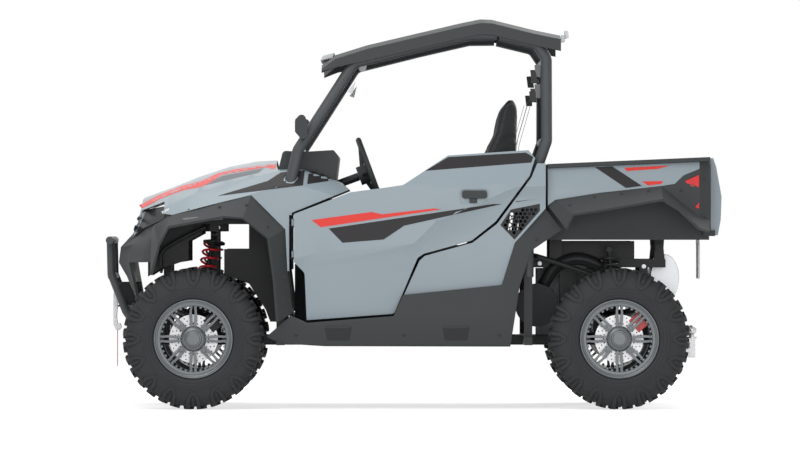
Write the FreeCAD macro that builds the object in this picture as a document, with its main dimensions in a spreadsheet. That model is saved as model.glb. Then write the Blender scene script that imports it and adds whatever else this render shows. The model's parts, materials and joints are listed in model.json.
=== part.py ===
import FreeCAD, Part
import math
import os

from FreeCAD import Placement, Rotation, Vector

# Side by side utility vehicle. X points forward, Y to its left, Z up, in millimetres.
# The origin is on the floor under the middle of the vehicle.

SIZES = [
    # Running gear
    ("front_axle_x", 1058.0),
    ("wheel_base", 2057.0),
    ("tyre_radius", 342.0),
    ("axle_z", 342.0),
    ("front_tyre_width", 229.0),
    ("rear_tyre_width", 279.0),
    ("front_wheel_y", 660.0),
    ("rear_wheel_y", 635.0),
    ("bead_radius", 178.0),
    ("rim_lip_radius", 191.0),
    ("rim_wall", 7.0),
    ("lug_height", 14.0),
    ("spoke_count", 8.0),
    ("hub_radius", 52.0),
    ("disc_radius", 118.0),
    ("disc_thickness", 5.0),
    ("stub_radius", 22.0),
    ("running_gap", 0.3),
    ("moving_gap", 6.0),
    # Suspension and steering
    ("kingpin_y", 585.0),
    ("pin_radius", 10.0),
    ("lower_ball_z", 257.0),
    ("upper_ball_z", 442.0),
    ("lower_pivot_z", 342.0),
    ("upper_pivot_z", 480.0),
    ("bush_radius", 20.0),
    ("arm_spread", 120.0),
    ("arm_tube_radius", 12.5),
    ("rear_upright_y", 545.0),
    ("tie_rod_ahead", 100.0),
    ("tie_rod_z", 396.0),
    ("tie_rod_radius", 10.0),
    ("damper_radius", 24.0),
    ("spring_radius", 46.0),
    ("spring_wire", 6.5),
    ("half_shaft_radius", 14.0),
    # Frame and floor
    ("skid_z", 305.0),
    ("skid_wall", 6.0),
    ("frame_tube", 40.0),
    ("frame_rail_y", 180.0),
    ("tower_top_z", 900.0),
    ("rear_rail_z", 725.0),
    ("rear_rail_y", 330.0),
    ("floor_wall", 8.0),
    ("cab_half_width", 612.0),
    ("seat_box_z", 640.0),
    ("bulkhead_x", -500.0),
    # Body panels
    ("panel_wall", 14.0),
    ("door_wall", 45.0),
    ("door_hinge_x", 577.0),
    ("door_proud", 24.0),
    ("door_gap", 6.0),
    ("hinge_inset", 24.0),
    ("hinge_pin_radius", 4.5),
    ("hinge_barrel_radius", 8.0),
    ("body_depth", 88.0),
    ("flare_reach", 90.0),
    ("hood_y", 350.0),
    ("rocker_foot_z", 304.0),
    # Cage and roof
    ("cage_radius", 27.0),
    ("cage_lean", 62.0),
    ("roof_wall", 16.0),
    ("roof_crown", 34.0),
    # Cargo bed
    ("bed_front_x", -650.0),
    ("bed_rear_x", -1440.0),
    ("bed_floor_z", 838.0),
    ("bed_under_z", 820.0),
    ("bed_rail_z", 1187.0),
    ("bed_rail_rise", 34.0),
    ("bed_half_width", 560.0),
    ("bed_rim_depth", 20.0),
    ("bed_wall", 12.0),
    ("bed_pivot_x", -1206.0),
    ("bed_pivot_z", 786.0),
    ("gate_hinge_radius", 10.0),
    ("gate_pin_radius", 6.0),
    # Cab
    ("seat_width", 500.0),
    ("wheel_rim_radius", 180.0),
    ("wheel_rim_tube", 14.0),
    ("steering_tilt", 20.3),
    ("steering_x", 205.0),
    ("steering_z", 1150.0),
    ("column_radius", 20.0),
    # Fittings
    ("guard_radius", 19.0),
    ("ball_radius", 25.0),
    ("hitch_pin_radius", 8.0),
    ("liner_wall", 6.0),
    ("mesh_pitch", 21.0),
    ("strap_width", 25.0),
    ("strap_length", 176.0),
]

doc = FreeCAD.newDocument("side_by_side")
sheet = doc.addObject("Spreadsheet::Sheet", "Sizes")
nodes = {}


class Dim(float):
    """A length together with the sheet expression that gives it."""

    def __new__(cls, value, text):
        item = super().__new__(cls, value)
        item.text = text
        return item

    def __add__(self, other):
        return Dim(float(self) + float(other), f"({self.text} + {text_of(other)})")

    def __radd__(self, other):
        return Dim(float(other) + float(self), f"({text_of(other)} + {self.text})")

    def __sub__(self, other):
        return Dim(float(self) - float(other), f"({self.text} - {text_of(other)})")

    def __rsub__(self, other):
        return Dim(float(other) - float(self), f"({text_of(other)} - {self.text})")

    def __mul__(self, other):
        return Dim(float(self) * float(other), f"({self.text} * {text_of(other)})")

    __rmul__ = __mul__

    def __truediv__(self, other):
        return Dim(float(self) / float(other), f"({self.text} / {text_of(other)})")

    def __neg__(self):
        return Dim(-float(self), f"(0 - {self.text})")


def text_of(value):
    """The expression of a bound size, or the plain number."""
    return value.text if isinstance(value, Dim) else repr(float(value))


class Lookup:
    """Every size of the sheet under its alias."""


S = Lookup()
for row, (alias, number) in enumerate(SIZES, start=1):
    sheet.set(f"A{row}", alias)
    sheet.set(f"B{row}", str(number))
    sheet.setAlias(f"B{row}", alias)
doc.recompute()
for alias, number in SIZES:
    setattr(S, alias, Dim(sheet.get(alias), f"Sizes.{alias}"))


# Helpers


def bind(item, **values):
    """Set properties, as expressions where the size comes from the sheet."""
    for key, value in values.items():
        if isinstance(value, Dim):
            item.setExpression(key, value.text)
        else:
            setattr(item, key, value)
    return item


def place(item, x=0.0, y=0.0, z=0.0, turn=None):
    """Put an object at a point that follows the sheet."""
    item.Placement = Placement(Vector(float(x), float(y), float(z)), turn or Rotation())
    for key, value in (("x", x), ("y", y), ("z", z)):
        if isinstance(value, Dim):
            item.setExpression(f"Placement.Base.{key}", value.text)
    return item


def vec(x, y, z):
    return Vector(float(x), float(y), float(z))


def box(name, x0, x1, y0, y1, z0, z1):
    """A block between two corners."""
    item = doc.addObject("Part::Box", name)
    bind(item, Length=x1 - x0, Width=y1 - y0, Height=z1 - z0)
    return place(item, x0, y0, z0)


def rod(name, radius, start, end):
    """A round bar between two points."""
    a = vec(*start)
    b = vec(*end)
    item = doc.addObject("Part::Cylinder", name)
    bind(item, Radius=radius)
    item.Height = (b - a).Length
    return place(item, start[0], start[1], start[2], Rotation(Vector(0, 0, 1), b - a))


def fused(name, parts):
    item = doc.addObject("Part::MultiFuse", name)
    item.Shapes = parts
    return item


def cut(name, base, tool):
    item = doc.addObject("Part::Cut", name)
    item.Base = base
    item.Tool = tool
    return item


def common(name, base, tool):
    item = doc.addObject("Part::Common", name)
    item.Base = base
    item.Tool = tool
    return item


def mirrored(name, source):
    """The same piece on the right side."""
    item = doc.addObject("Part::Mirroring", name)
    item.Source = source
    item.Normal = Vector(0, 1, 0)
    return item


def node(label, item):
    """Name a finished sub-part and stand it as high as the tyres carry it."""
    part = doc.addObject("Part::Compound", "part_" + label)
    part.Links = [item]
    part.Label = label
    part.setExpression("Placement.Base.z", "Sizes.tyre_radius - Sizes.axle_z")
    nodes[label] = part
    return item


def pair(label, source):
    """A left piece and its mirror image as one sub-part of two solids."""
    item = doc.addObject("Part::Compound", label)
    item.Links = [source, mirrored(label + "_right", source)]
    return node(label, item)


def rounded_edges(points, radii, closed):
    """Straight runs joined by tangent arcs."""
    count = len(points)
    starts = list(points)
    ends = list(points)
    arcs = [None] * count
    for i, corner in enumerate(points):
        if radii[i] <= 0 or (not closed and i in (0, count - 1)):
            continue
        before = (points[i - 1] - corner).normalize()
        after = (points[(i + 1) % count] - corner).normalize()
        half = before.getAngle(after) / 2
        reach = radii[i] / math.tan(half)
        inward = (before + after).normalize()
        middle = corner + inward * (radii[i] / math.sin(half) - radii[i])
        starts[i] = corner + before * reach
        ends[i] = corner + after * reach
        arcs[i] = Part.Arc(starts[i], middle, ends[i])
    curves = []
    for i in range(count if closed else count - 1):
        following = (i + 1) % count
        if arcs[i]:
            curves.append(arcs[i])
        if (starts[following] - ends[i]).Length > 1e-4:
            curves.append(Part.LineSegment(ends[i], starts[following]))
    return curves


def tube(name, points, radius, bend):
    """A bent tube along straight runs and arcs of one bend radius."""
    corners = [vec(*p) for p in points]
    curves = rounded_edges(corners, [float(bend)] * len(corners), False)
    spine = doc.addObject("Part::Feature", name + "_spine")
    spine.Shape = Part.Wire([c.toShape() for c in curves])
    ring = doc.addObject("Part::Circle", name + "_ring")
    bind(ring, Radius=radius)
    ring.Placement = Placement(corners[0], Rotation(Vector(0, 0, 1), corners[1] - corners[0]))
    item = doc.addObject("Part::Sweep", name)
    item.Sections = [ring]
    item.Spine = (spine, [f"Edge{n + 1}" for n in range(len(curves))])
    item.Solid = True
    item.Frenet = False
    item.Transition = "Right corner"
    return item


def outline_sketch(body, name, role, points, offset=0.0):
    """A closed outline; a point may have a third number, its corner radius."""
    sketch = body.newObject("Sketcher::SketchObject", name)
    plane = [f for f in body.Origin.OriginFeatures if f.Role == role][0]
    sketch.AttachmentSupport = [(plane, "")]
    sketch.MapMode = "FlatFace"
    sketch.AttachmentOffset = Placement(Vector(0, 0, float(offset)), Rotation())
    if isinstance(offset, Dim):
        sketch.setExpression("AttachmentOffset.Base.z", offset.text)
    corners = [vec(p[0], p[1], 0) for p in points]
    radii = [float(p[2]) if len(p) > 2 else 0.0 for p in points]
    for curve in rounded_edges(corners, radii, True):
        sketch.addGeometry(curve)
    return sketch


def plate(name, points, y0, y1):
    """An outline in X and Z, padded along Y between two planes."""
    body = doc.addObject("PartDesign::Body", name)
    sketch = outline_sketch(body, name + "_outline", "XZ_Plane", points, -y1)
    pad = body.newObject("PartDesign::Pad", name + "_pad")
    pad.Profile = sketch
    bind(pad, Length=y1 - y0)
    return body


def slab(name, points, z0, z1):
    """An outline in X and Y, padded along Z between two planes."""
    body = doc.addObject("PartDesign::Body", name)
    sketch = outline_sketch(body, name + "_outline", "XY_Plane", points, z0)
    pad = body.newObject("PartDesign::Pad", name + "_pad")
    pad.Profile = sketch
    bind(pad, Length=z1 - z0)
    return body


def turned(name, profile):
    """A profile of radius and width, turned about the Y axis."""
    body = doc.addObject("PartDesign::Body", name)
    sketch = outline_sketch(body, name + "_profile", "XY_Plane", profile)
    turn = body.newObject("PartDesign::Revolution", name + "_turn")
    turn.Profile = sketch
    turn.ReferenceAxis = (sketch, ["V_Axis"])
    turn.Angle = 360
    return body


def strip_outline(points, wall):
    """The closed outline of a bent sheet, its wall on the right of the points' direction."""
    normals = []
    for i in range(len(points) - 1):
        dx = float(points[i + 1][0] - points[i][0])
        dz = float(points[i + 1][1] - points[i][1])
        length = math.hypot(dx, dz)
        normals.append((dz / length, -dx / length))
    inner = []
    for i, (x, z) in enumerate(points):
        first = normals[max(i - 1, 0)]
        second = normals[min(i, len(normals) - 1)]
        scale = 1 + first[0] * second[0] + first[1] * second[1]
        nx = (first[0] + second[0]) / scale
        nz = (first[1] + second[1]) / scale
        inner.append((x + float(wall) * nx, z + float(wall) * nz))
    return list(points) + inner[::-1]


def loft(name, sections):
    """A solid ruled between closed outlines of points."""
    wires = []
    for section in sections:
        corners = [vec(*p) for p in section]
        wires.append(Part.makePolygon(corners + corners[:1]))
    item = doc.addObject("Part::Feature", name)
    item.Shape = Part.makeLoft(wires, True, True)
    return item


def side_skin(name, stations, wall):
    """A sheet whose outer line in Y and Z is given at each X station."""
    sections = []
    for x, line in stations:
        sections.append([(x, y, z) for y, z in strip_outline(line, wall)])
    return loft(name, sections)


def cross_skin(name, stations, wall):
    """A sheet whose outer line in X and Z is given at each Y station."""
    sections = []
    for y, line in stations:
        sections.append([(x, y, z) for x, z in strip_outline(line, wall)])
    return loft(name, sections)


def between(x, points):
    """The height at x on a line of X and Z points."""
    ordered = sorted((float(a), float(b)) for a, b in points)
    x = float(x)
    if x <= ordered[0][0]:
        return ordered[0][1]
    for (x0, z0), (x1, z1) in zip(ordered, ordered[1:]):
        if x <= x1:
            return z0 + (z1 - z0) * (x - x0) / (x1 - x0)
    return ordered[-1][1]


RIM_INSET = 8
LUG_COUNT = 16
SPRING_TURNS = 6
CALIPER_ANGLE = 140
REAR_AXLE_X = S.front_axle_x - S.wheel_base
AXLE_Z = S.axle_z
RAIL_TOP_Z = S.skid_z + S.skid_wall + S.frame_tube
FLOOR_Z = RAIL_TOP_Z + S.running_gap + S.floor_wall
ARM_PIVOT_Y = S.frame_rail_y + S.frame_tube / 2 + S.bush_radius + S.running_gap
BODY_Y = S.cab_half_width + S.body_depth
FLARE_Y = BODY_Y + S.flare_reach
DOOR_SKIN_Y = BODY_Y + S.door_proud
HINGE_Y = DOOR_SKIN_Y - S.hinge_inset
CAGE_FOOT_Y = S.cab_half_width + S.cage_radius + 1
CAGE_TOP_Y = CAGE_FOOT_Y - S.cage_lean
ROOF_Y = CAGE_TOP_Y + 44
HINGE_HEIGHTS = (735, 888)
GATE_PIN_X = S.bed_rear_x - S.moving_gap - S.gate_hinge_radius
GATE_PIN_Z = S.bed_floor_z + S.gate_hinge_radius + 4
GATE_TOP_Z = S.bed_rail_z + S.bed_rail_rise - 4
EYE_RADIUS = 14
HOOK_FOOT_Z = 374
OUTRIGGER_Y = BODY_Y + 4
HOOD_NOSE = 262
FRONT_END_X = S.front_axle_x + 190
REAR_END_X = REAR_AXLE_X - 210
WINCH_Z = 500
GATE_HALF = S.bed_half_width + 8
DASH_HALF = S.cab_half_width - 56
TUNNEL_HALF = 36
SEAT_Y = S.seat_width / 2 + TUNNEL_HALF + 4
BED_SIDE_Y = S.bed_half_width + 124
REAR_LIP_Y = BED_SIDE_Y + 106
COWL_POST_X = S.front_axle_x - 440
COWL_POST_Z = 925
GEAR_CASE_HALF = 110
SHAFT_Z = AXLE_Z + 36
SHOCK_POST_Y = S.rear_rail_y + S.frame_tube / 2
SHOCK_POST_Z = S.rear_rail_z + 62
BRACE_RADIUS = 11
DISC_Y = S.kingpin_y + 94
LINER_Y = SHOCK_POST_Y + S.running_gap
REAR_POST_X = REAR_AXLE_X - 151
HITCH_Z = S.skid_z - 13


def ahead(dx):
    """An X place counted from the front axle."""
    return S.front_axle_x + dx


def behind(dx):
    """An X place counted from the rear axle."""
    return REAR_AXLE_X + dx


def from_door(dx):
    """An X place counted from the door hinge."""
    return S.door_hinge_x + dx


def from_bed(dx):
    """An X place counted from the front of the bed."""
    return S.bed_front_x + dx


# Wheels


def lugged_ring(bare, lugged, beads, side):
    """A ring in flat facets, whose outline has its lug on one half and then on the other.

    bare and lugged are lines of radius and Y over one half, from a shared middle point to a
    shared foot, and beads goes on from that foot to the bead.
    """
    count = 2 * LUG_COUNT
    step = 2 * math.pi / count
    reach = 1 / math.cos(step / 2)

    def corner(point, k):
        angle = step * (k + 0.5)
        r = point[0] * reach
        return Vector(r * math.sin(angle), point[1] * side, -r * math.cos(angle))

    def facet(corners):
        return Part.Face(Part.makePolygon(corners + corners[:1]))

    wall = lugged + bare[-2:0:-1]
    faces = []
    for k in range(count):
        hand = -1 if k % 2 else 1
        outline = [(r, y * hand) for r, y in lugged + beads]
        outline += [(r, -y * hand) for r, y in (bare + beads)[::-1]]
        for a, b in zip(outline, outline[1:] + outline[:1]):
            faces.append(facet([corner(a, k - 1), corner(b, k - 1), corner(b, k), corner(a, k)]))
        for half in (-1, 1):
            faces.append(facet([corner((r, y * half), k) for r, y in wall]))
    return Part.makeSolid(Part.makeShell(faces))


def tyre(label, x, y, width, side):
    """A tyre whose shoulder lugs alternate from side to side."""
    half = float(width) / 2
    tread = float(S.tyre_radius)
    low = tread - float(S.lug_height)
    seat = half - RIM_INSET - 20 - float(S.running_gap)
    lip = float(S.rim_lip_radius + S.running_gap)
    middle = (low, 10)
    foot = (tread - 90, half - 6)
    bare = [middle, (low, half - 66), (low - 50, half - 1), foot]
    lugged = [
        middle,
        (tread, 12),
        (tread, half - 60),
        (tread - 48, half + 2),
        (tread - 86, half + 2),
        foot,
    ]
    beads = [(lip, half - RIM_INSET + 2), (lip, seat), (float(S.bead_radius), seat)]
    item = doc.addObject("Part::Feature", label)
    item.Shape = lugged_ring(bare, lugged, beads, side)
    place(item, x, y * side, AXLE_Z)
    return node(label, item)


def rim(label, x, y, width, side):
    """A cast wheel: barrel, spoked disc and hub on its stub axle, with the brake disc behind."""
    half = width / 2 - RIM_INSET
    barrel = S.bead_radius
    wall = S.rim_wall
    face = half - 26
    stub_end = S.kingpin_y + 6 - y if x == S.front_axle_x else S.rear_upright_y + 6 - y
    profile = [
        (0, stub_end),
        (S.stub_radius, stub_end),
        (S.stub_radius, face - 64),
        (S.disc_radius, face - 64),
        (S.disc_radius, face - 64 + S.disc_thickness),
        (S.hub_radius, face - 64 + S.disc_thickness),
        (S.hub_radius, face - 24),
        (barrel - wall, face - 24),
        (barrel - wall, -half + 14),
        (S.rim_lip_radius - wall, -half + 8),
        (S.rim_lip_radius - wall, -half),
        (S.rim_lip_radius, -half),
        (S.rim_lip_radius, -half + 12),
        (barrel - S.running_gap, -half + 20),
        (barrel - S.running_gap, half - 20),
        (S.rim_lip_radius, half - 12),
        (S.rim_lip_radius, half),
        (barrel - wall - 4, half),
        (barrel - wall - 4, face),
        (S.hub_radius, face - 6),
        (S.hub_radius - 12, face + 14),
        (0, face + 14),
    ]
    body = turned(label, [(r, a * side) for r, a in profile])
    for name, turn, outline in (
        ("slot", 0, [(82, 0), (92, 5, 3), (143, 6, 3), (152, 0), (143, -6, 3), (92, -5, 3)]),
        (
            "window",
            180 / float(S.spoke_count),
            [(73, -9, 3), (151, -40, 5), (160, -8), (160, 8), (151, 40, 5), (73, 9, 3)],
        ),
    ):
        c = math.cos(math.radians(turn))
        n = math.sin(math.radians(turn))
        spun = [(p[0] * c - p[1] * n, p[0] * n + p[1] * c) + tuple(p[2:]) for p in outline]
        sketch = outline_sketch(body, f"{label}_{name}", "XZ_Plane", spun)
        pocket = body.newObject("PartDesign::Pocket", f"{label}_{name}_cut")
        pocket.Profile = sketch
        pocket.Type = "ThroughAll"
        pocket.SideType = "Symmetric"
        pattern = body.newObject("PartDesign::PolarPattern", f"{label}_{name}s")
        pattern.Originals = [pocket]
        pattern.Axis = (sketch, ["N_Axis"])
        pattern.Angle = 360
        pattern.setExpression("Occurrences", "Sizes.spoke_count")
        body.Tip = pattern
    place(body, x, y * side, AXLE_Z)
    return node(label, body)


def wheels():
    for end, x, y, width in (
        ("front", S.front_axle_x, S.front_wheel_y, S.front_tyre_width),
        ("rear", REAR_AXLE_X, S.rear_wheel_y, S.rear_tyre_width),
    ):
        for hand, side in (("left", 1), ("right", -1)):
            tyre(f"tyre_{end}_{hand}", x, y, width, side)
            rim(f"rim_{end}_{hand}", x, y, width, side)


# Suspension and steering


def wishbone(name, x, outer_y, outer_z, inner_z):
    """Two tubes from the frame to the ball joint's eye."""
    eye_height = 26
    legs = []
    for sign in (-1, 1):
        inner = (x + sign * S.arm_spread, ARM_PIVOT_Y, inner_z)
        outer = (x + sign * 10, outer_y - 20, outer_z)
        legs.append(rod(f"{name}_leg{sign + 1}", S.arm_tube_radius, inner, outer))
        legs.append(
            rod(
                f"{name}_bush{sign + 1}",
                S.bush_radius,
                (inner[0] - 22, inner[1], inner[2]),
                (inner[0] + 22, inner[1], inner[2]),
            )
        )
    eye = rod(
        name + "_eye",
        S.pin_radius + 14,
        (x, outer_y, outer_z - eye_height / 2),
        (x, outer_y, outer_z + eye_height / 2),
    )
    brace_y = (outer_y + ARM_PIVOT_Y) / 2
    brace_z = (outer_z + inner_z) / 2
    brace = rod(
        name + "_brace",
        BRACE_RADIUS,
        (x - S.arm_spread * 0.5, brace_y, brace_z),
        (x + S.arm_spread * 0.5, brace_y, brace_z),
    )
    whole = fused(name + "_solid", legs + [eye, brace])
    bore = rod(
        name + "_bore",
        S.pin_radius + S.running_gap,
        (x, outer_y, outer_z - eye_height),
        (x, outer_y, outer_z + eye_height),
    )
    return cut(name, whole, bore)


def arms(label, x, outer_y):
    lower = wishbone(label + "_lower", x, outer_y, S.lower_ball_z, S.lower_pivot_z)
    upper = wishbone(label + "_upper", x, outer_y, S.upper_ball_z, S.upper_pivot_z)
    both = doc.addObject("Part::Compound", label + "_left")
    both.Links = [lower, upper]
    return pair(label, both)


def upright(name, x, y):
    """The forging that carries the hub between the two ball joints."""
    low = S.lower_ball_z + 13 + S.running_gap
    high = S.upper_ball_z - 13 - S.running_gap
    post = box(name + "_post", x - 17, x + 17, y - 8, y + 18, low, high)
    pin = rod(name + "_pin", S.pin_radius, (x, y, S.lower_ball_z - 12), (x, y, S.upper_ball_z + 12))
    carrier = rod(name + "_carrier", S.stub_radius + 26, (x, y - 12, AXLE_Z), (x, y + 30, AXLE_Z))
    bore = rod(
        name + "_bore",
        S.stub_radius + S.running_gap,
        (x, y, AXLE_Z),
        (x, y + 60, AXLE_Z),
    )
    return cut(name, fused(name + "_solid", [post, pin, carrier] + caliper_bracket(name, x, y)), bore)


def astride(name, x, near, far, half, y0, y1):
    """A plate on the line from the axle up and back to the caliper."""
    c = math.cos(math.radians(CALIPER_ANGLE))
    n = math.sin(math.radians(CALIPER_ANGLE))
    points = []
    for reach, across in ((near, -half), (far, -half), (far, half), (near, half)):
        points.append((x + reach * c - across * n, AXLE_Z + reach * n + across * c))
    return plate(name, points, y0, y1)


def caliper_bracket(name, x, y):
    """The arm that carries the caliper, from the upright out past the disc's rim."""
    reach = S.disc_radius + 34
    arm = astride(name + "_arm", x, S.stub_radius + 18, reach, 18, y + 18, y + 30)
    bridge = astride(name + "_bridge", x, reach - 24, reach, 18, y + 18, DISC_Y - 27 - S.running_gap)
    return [arm, bridge]


def caliper(name, x):
    """A brake caliper astride the disc."""
    near = S.disc_radius - 26
    block = astride(name + "_block", x, near, S.disc_radius + 34, 38, DISC_Y - 27, DISC_Y + 27)
    half = S.disc_thickness / 2 + S.moving_gap
    slot = astride(
        name + "_slot", x, near - 1, S.disc_radius + S.moving_gap, 40, DISC_Y - half, DISC_Y + half
    )
    waist = astride(name + "_waist", x, near - 1, near + 20, 9, DISC_Y - 40, DISC_Y + 40)
    return cut(name, block, fused(name + "_ways", [slot, waist]))


def front_knuckle(label):
    x = S.front_axle_x
    y = S.kingpin_y
    upright_body = upright(label + "_upright", x, y)
    arm = plate_arm(label + "_arm", x, y)
    return fused(label + "_whole", [upright_body, arm])


def plate_arm(name, x, y):
    """The steering arm, flat, ahead of the kingpin."""
    top = S.tie_rod_z - 12 - S.moving_gap
    return slab(
        name,
        [
            (x + 10, y - 18),
            (x + S.tie_rod_ahead, y - 14, 12),
            (x + S.tie_rod_ahead + 14, y, 6),
            (x + S.tie_rod_ahead, y + 14, 12),
            (x + 10, y + 18),
        ],
        top - 12,
        top,
    )


def knuckles():
    left = front_knuckle("front_knuckle_left")
    node("front_knuckle_left", left)
    node("front_knuckle_right", mirrored("front_knuckle_right_copy", left))
    pair("rear_knuckles", upright("rear_knuckle", REAR_AXLE_X, S.rear_upright_y))
    brake = caliper("front_caliper", S.front_axle_x)
    node("front_caliper_left", brake)
    node("front_caliper_right", mirrored("front_caliper_copy", brake))
    pair("rear_calipers", caliper("rear_caliper", REAR_AXLE_X))


def tie_rods():
    """One bar from eye to eye; its outer eyes stand clear above the steering arms."""
    x = ahead(S.tie_rod_ahead)
    bar = rod(
        "tie_rod_bar", S.tie_rod_radius, (x, -S.kingpin_y, S.tie_rod_z), (x, S.kingpin_y, S.tie_rod_z)
    )
    eyes = []
    for side in (-1, 1):
        y = S.kingpin_y * side
        eyes.append(rod(f"tie_rod_eye{side + 1}", 16, (x, y, S.tie_rod_z - 12), (x, y, S.tie_rod_z + 12)))
    node("tie_rods", fused("tie_rods_whole", [bar] + eyes))


def damper(end, low, high, top_eye):
    """One damper between its eyes, with the spring seats, and its spring."""
    low = vec(*low)
    high = vec(*high)
    axis = (high - low).normalize()
    length = (high - low).Length
    across = Vector(EYE_RADIUS, 0, 0)
    parts = [
        rod(f"damper_{end}_eye", EYE_RADIUS, low - across, low + across),
        rod(f"damper_{end}_body", S.damper_radius, low + axis * 26, low + axis * (length * 0.55)),
        rod(f"damper_{end}_shaft", S.damper_radius * 0.42, low, high),
        rod(f"damper_{end}_seat", S.spring_radius, low + axis * 56, low + axis * 64),
        rod(f"damper_{end}_cap", S.spring_radius, high - axis * 46, high - axis * 38),
        rod(f"damper_{end}_top_eye", EYE_RADIUS, *top_eye),
    ]
    gap = float(S.running_gap)
    coil = spring(f"spring_{end}", low + axis * (64 + gap), high - axis * (46 + gap))
    return fused(f"damper_{end}", parts), coil


def spring(name, low, high):
    """A coil spring of square set wire between its seats, in flat facets."""
    wire = float(S.spring_wire)
    radius = float(S.spring_radius) - wire
    end = wire * math.sin(math.pi / 3)
    rise = (high - low).Length - 2 * end
    steps = 12 * SPRING_TURNS
    sections = []
    for k in range(steps + 1):
        angle = 2 * math.pi * k / 12
        along = end + rise * k / steps
        out = Vector(math.cos(angle), math.sin(angle), 0)
        centre = out * radius + Vector(0, 0, along)
        sections.append([
            centre + out * (wire * math.cos(a)) + Vector(0, 0, wire * math.sin(a))
            for a in (math.pi * n / 3 for n in range(6))
        ])
    faces = [Part.Face(Part.makePolygon(cap + cap[:1])) for cap in (sections[0], sections[-1])]
    for a, b in zip(sections, sections[1:]):
        for i in range(6):
            j = (i + 1) % 6
            faces.append(Part.Face(Part.makePolygon([a[i], a[j], b[j], a[i]])))
            faces.append(Part.Face(Part.makePolygon([a[i], b[j], b[i], a[i]])))
    item = doc.addObject("Part::Feature", name)
    item.Shape = Part.makeSolid(Part.makeShell(faces))
    item.Placement = Placement(low, Rotation(Vector(0, 0, 1), high - low))
    return item


def dampers():
    """Coil-over dampers from the upper arms to the frame."""
    rise = BRACE_RADIUS + EYE_RADIUS + S.running_gap
    low_z = (S.upper_ball_z + S.upper_pivot_z) / 2 + rise
    front_x = ahead(-90)
    front_z = S.tower_top_z - S.frame_tube - EYE_RADIUS - S.running_gap
    front = damper(
        "front",
        (ahead(-22), (S.kingpin_y + ARM_PIVOT_Y) / 2, low_z),
        (front_x, S.rear_rail_y, front_z),
        ((front_x - EYE_RADIUS, S.rear_rail_y, front_z), (front_x + EYE_RADIUS, S.rear_rail_y, front_z)),
    )
    rear_x = behind(40)
    rear_y = SHOCK_POST_Y + S.spring_radius + S.moving_gap
    rear_z = SHOCK_POST_Z - EYE_RADIUS
    rear = damper(
        "rear",
        (behind(20), (S.rear_upright_y + ARM_PIVOT_Y) / 2 + 20, low_z),
        (rear_x, rear_y, rear_z),
        ((rear_x, SHOCK_POST_Y + S.running_gap, rear_z), (rear_x, rear_y + EYE_RADIUS, rear_z)),
    )
    for label, items in (("dampers", (front[0], rear[0])), ("springs", (front[1], rear[1]))):
        both = doc.addObject("Part::Compound", label + "_left")
        both.Links = list(items)
        pair(label, both)


def drive_shafts():
    """Half shafts from the gear cases to the uprights, each with its inner boot."""
    items = []
    start = GEAR_CASE_HALF - 8
    for end, x, outer_y in (
        ("front", S.front_axle_x, S.kingpin_y - 34),
        ("rear", REAR_AXLE_X, S.rear_upright_y - 32),
    ):
        inner = vec(x, start, SHAFT_Z)
        outer = vec(x, outer_y, AXLE_Z)
        axis = (outer - inner).normalize()
        bar = rod(f"shaft_{end}", S.half_shaft_radius, inner, outer)
        boot = rod(f"shaft_{end}_boot", 30, inner + axis * 106, inner + axis * 166)
        stop = rod(f"shaft_{end}_stop", 56, (x, 0, SHAFT_Z), (x, GEAR_CASE_HALF + S.running_gap, SHAFT_Z))
        items.append(cut(f"shaft_{end}_whole", fused(f"shaft_{end}_solid", [bar, boot]), stop))
    both = doc.addObject("Part::Compound", "drive_shafts_left")
    both.Links = items
    pair("drive_shafts", both)


def gear_cases():
    """The front drive case and the rear transaxle between the frame rails."""
    items = []
    for end, x, reach in (("front", S.front_axle_x, 64), ("rear", REAR_AXLE_X, 105)):
        low = S.skid_z + S.skid_wall + S.running_gap
        case = box(f"gear_case_{end}_body", x - reach, x + reach, -70, 70, low, SHAFT_Z + 44)
        cheeks = rod(
            f"gear_case_{end}_cheeks", 56, (x, -GEAR_CASE_HALF, SHAFT_Z), (x, GEAR_CASE_HALF, SHAFT_Z)
        )
        items.append(fused(f"gear_case_{end}", [case, cheeks]))
    both = doc.addObject("Part::Compound", "gear_cases")
    both.Links = items
    node("gear_cases", both)


def running_gear():
    arms("front_arms", S.front_axle_x, S.kingpin_y)
    arms("rear_arms", REAR_AXLE_X, S.rear_upright_y)
    knuckles()
    tie_rods()
    dampers()
    drive_shafts()
    gear_cases()


# Frame


def square_run(name, x0, x1, y, z):
    """A square tube along X, its top at z."""
    return box(name, x0, x1, y - S.frame_tube / 2, y + S.frame_tube / 2, z - S.frame_tube, z)


def door_bracket(name, side, height):
    """A hinge bracket on the cowl post, with the pin that the door turns on."""
    y = HINGE_Y * side
    post = CAGE_FOOT_Y * side
    outline = [
        (COWL_POST_X + 4, post + 18 * side),
        (S.door_hinge_x - 6, y - 4 * side, 3),
        (S.door_hinge_x - 1, y + 6 * side, 3),
        (S.door_hinge_x + 5, y - 3 * side, 3),
        (COWL_POST_X + 24, post + 18 * side),
    ]
    leaf = slab(name + "_leaf", outline, height - 8, height)
    pin = rod(
        name + "_pin",
        S.hinge_pin_radius,
        (S.door_hinge_x, y, height - 4),
        (S.door_hinge_x, y, height + 34),
    )
    return fused(name, [leaf, pin])


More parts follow.
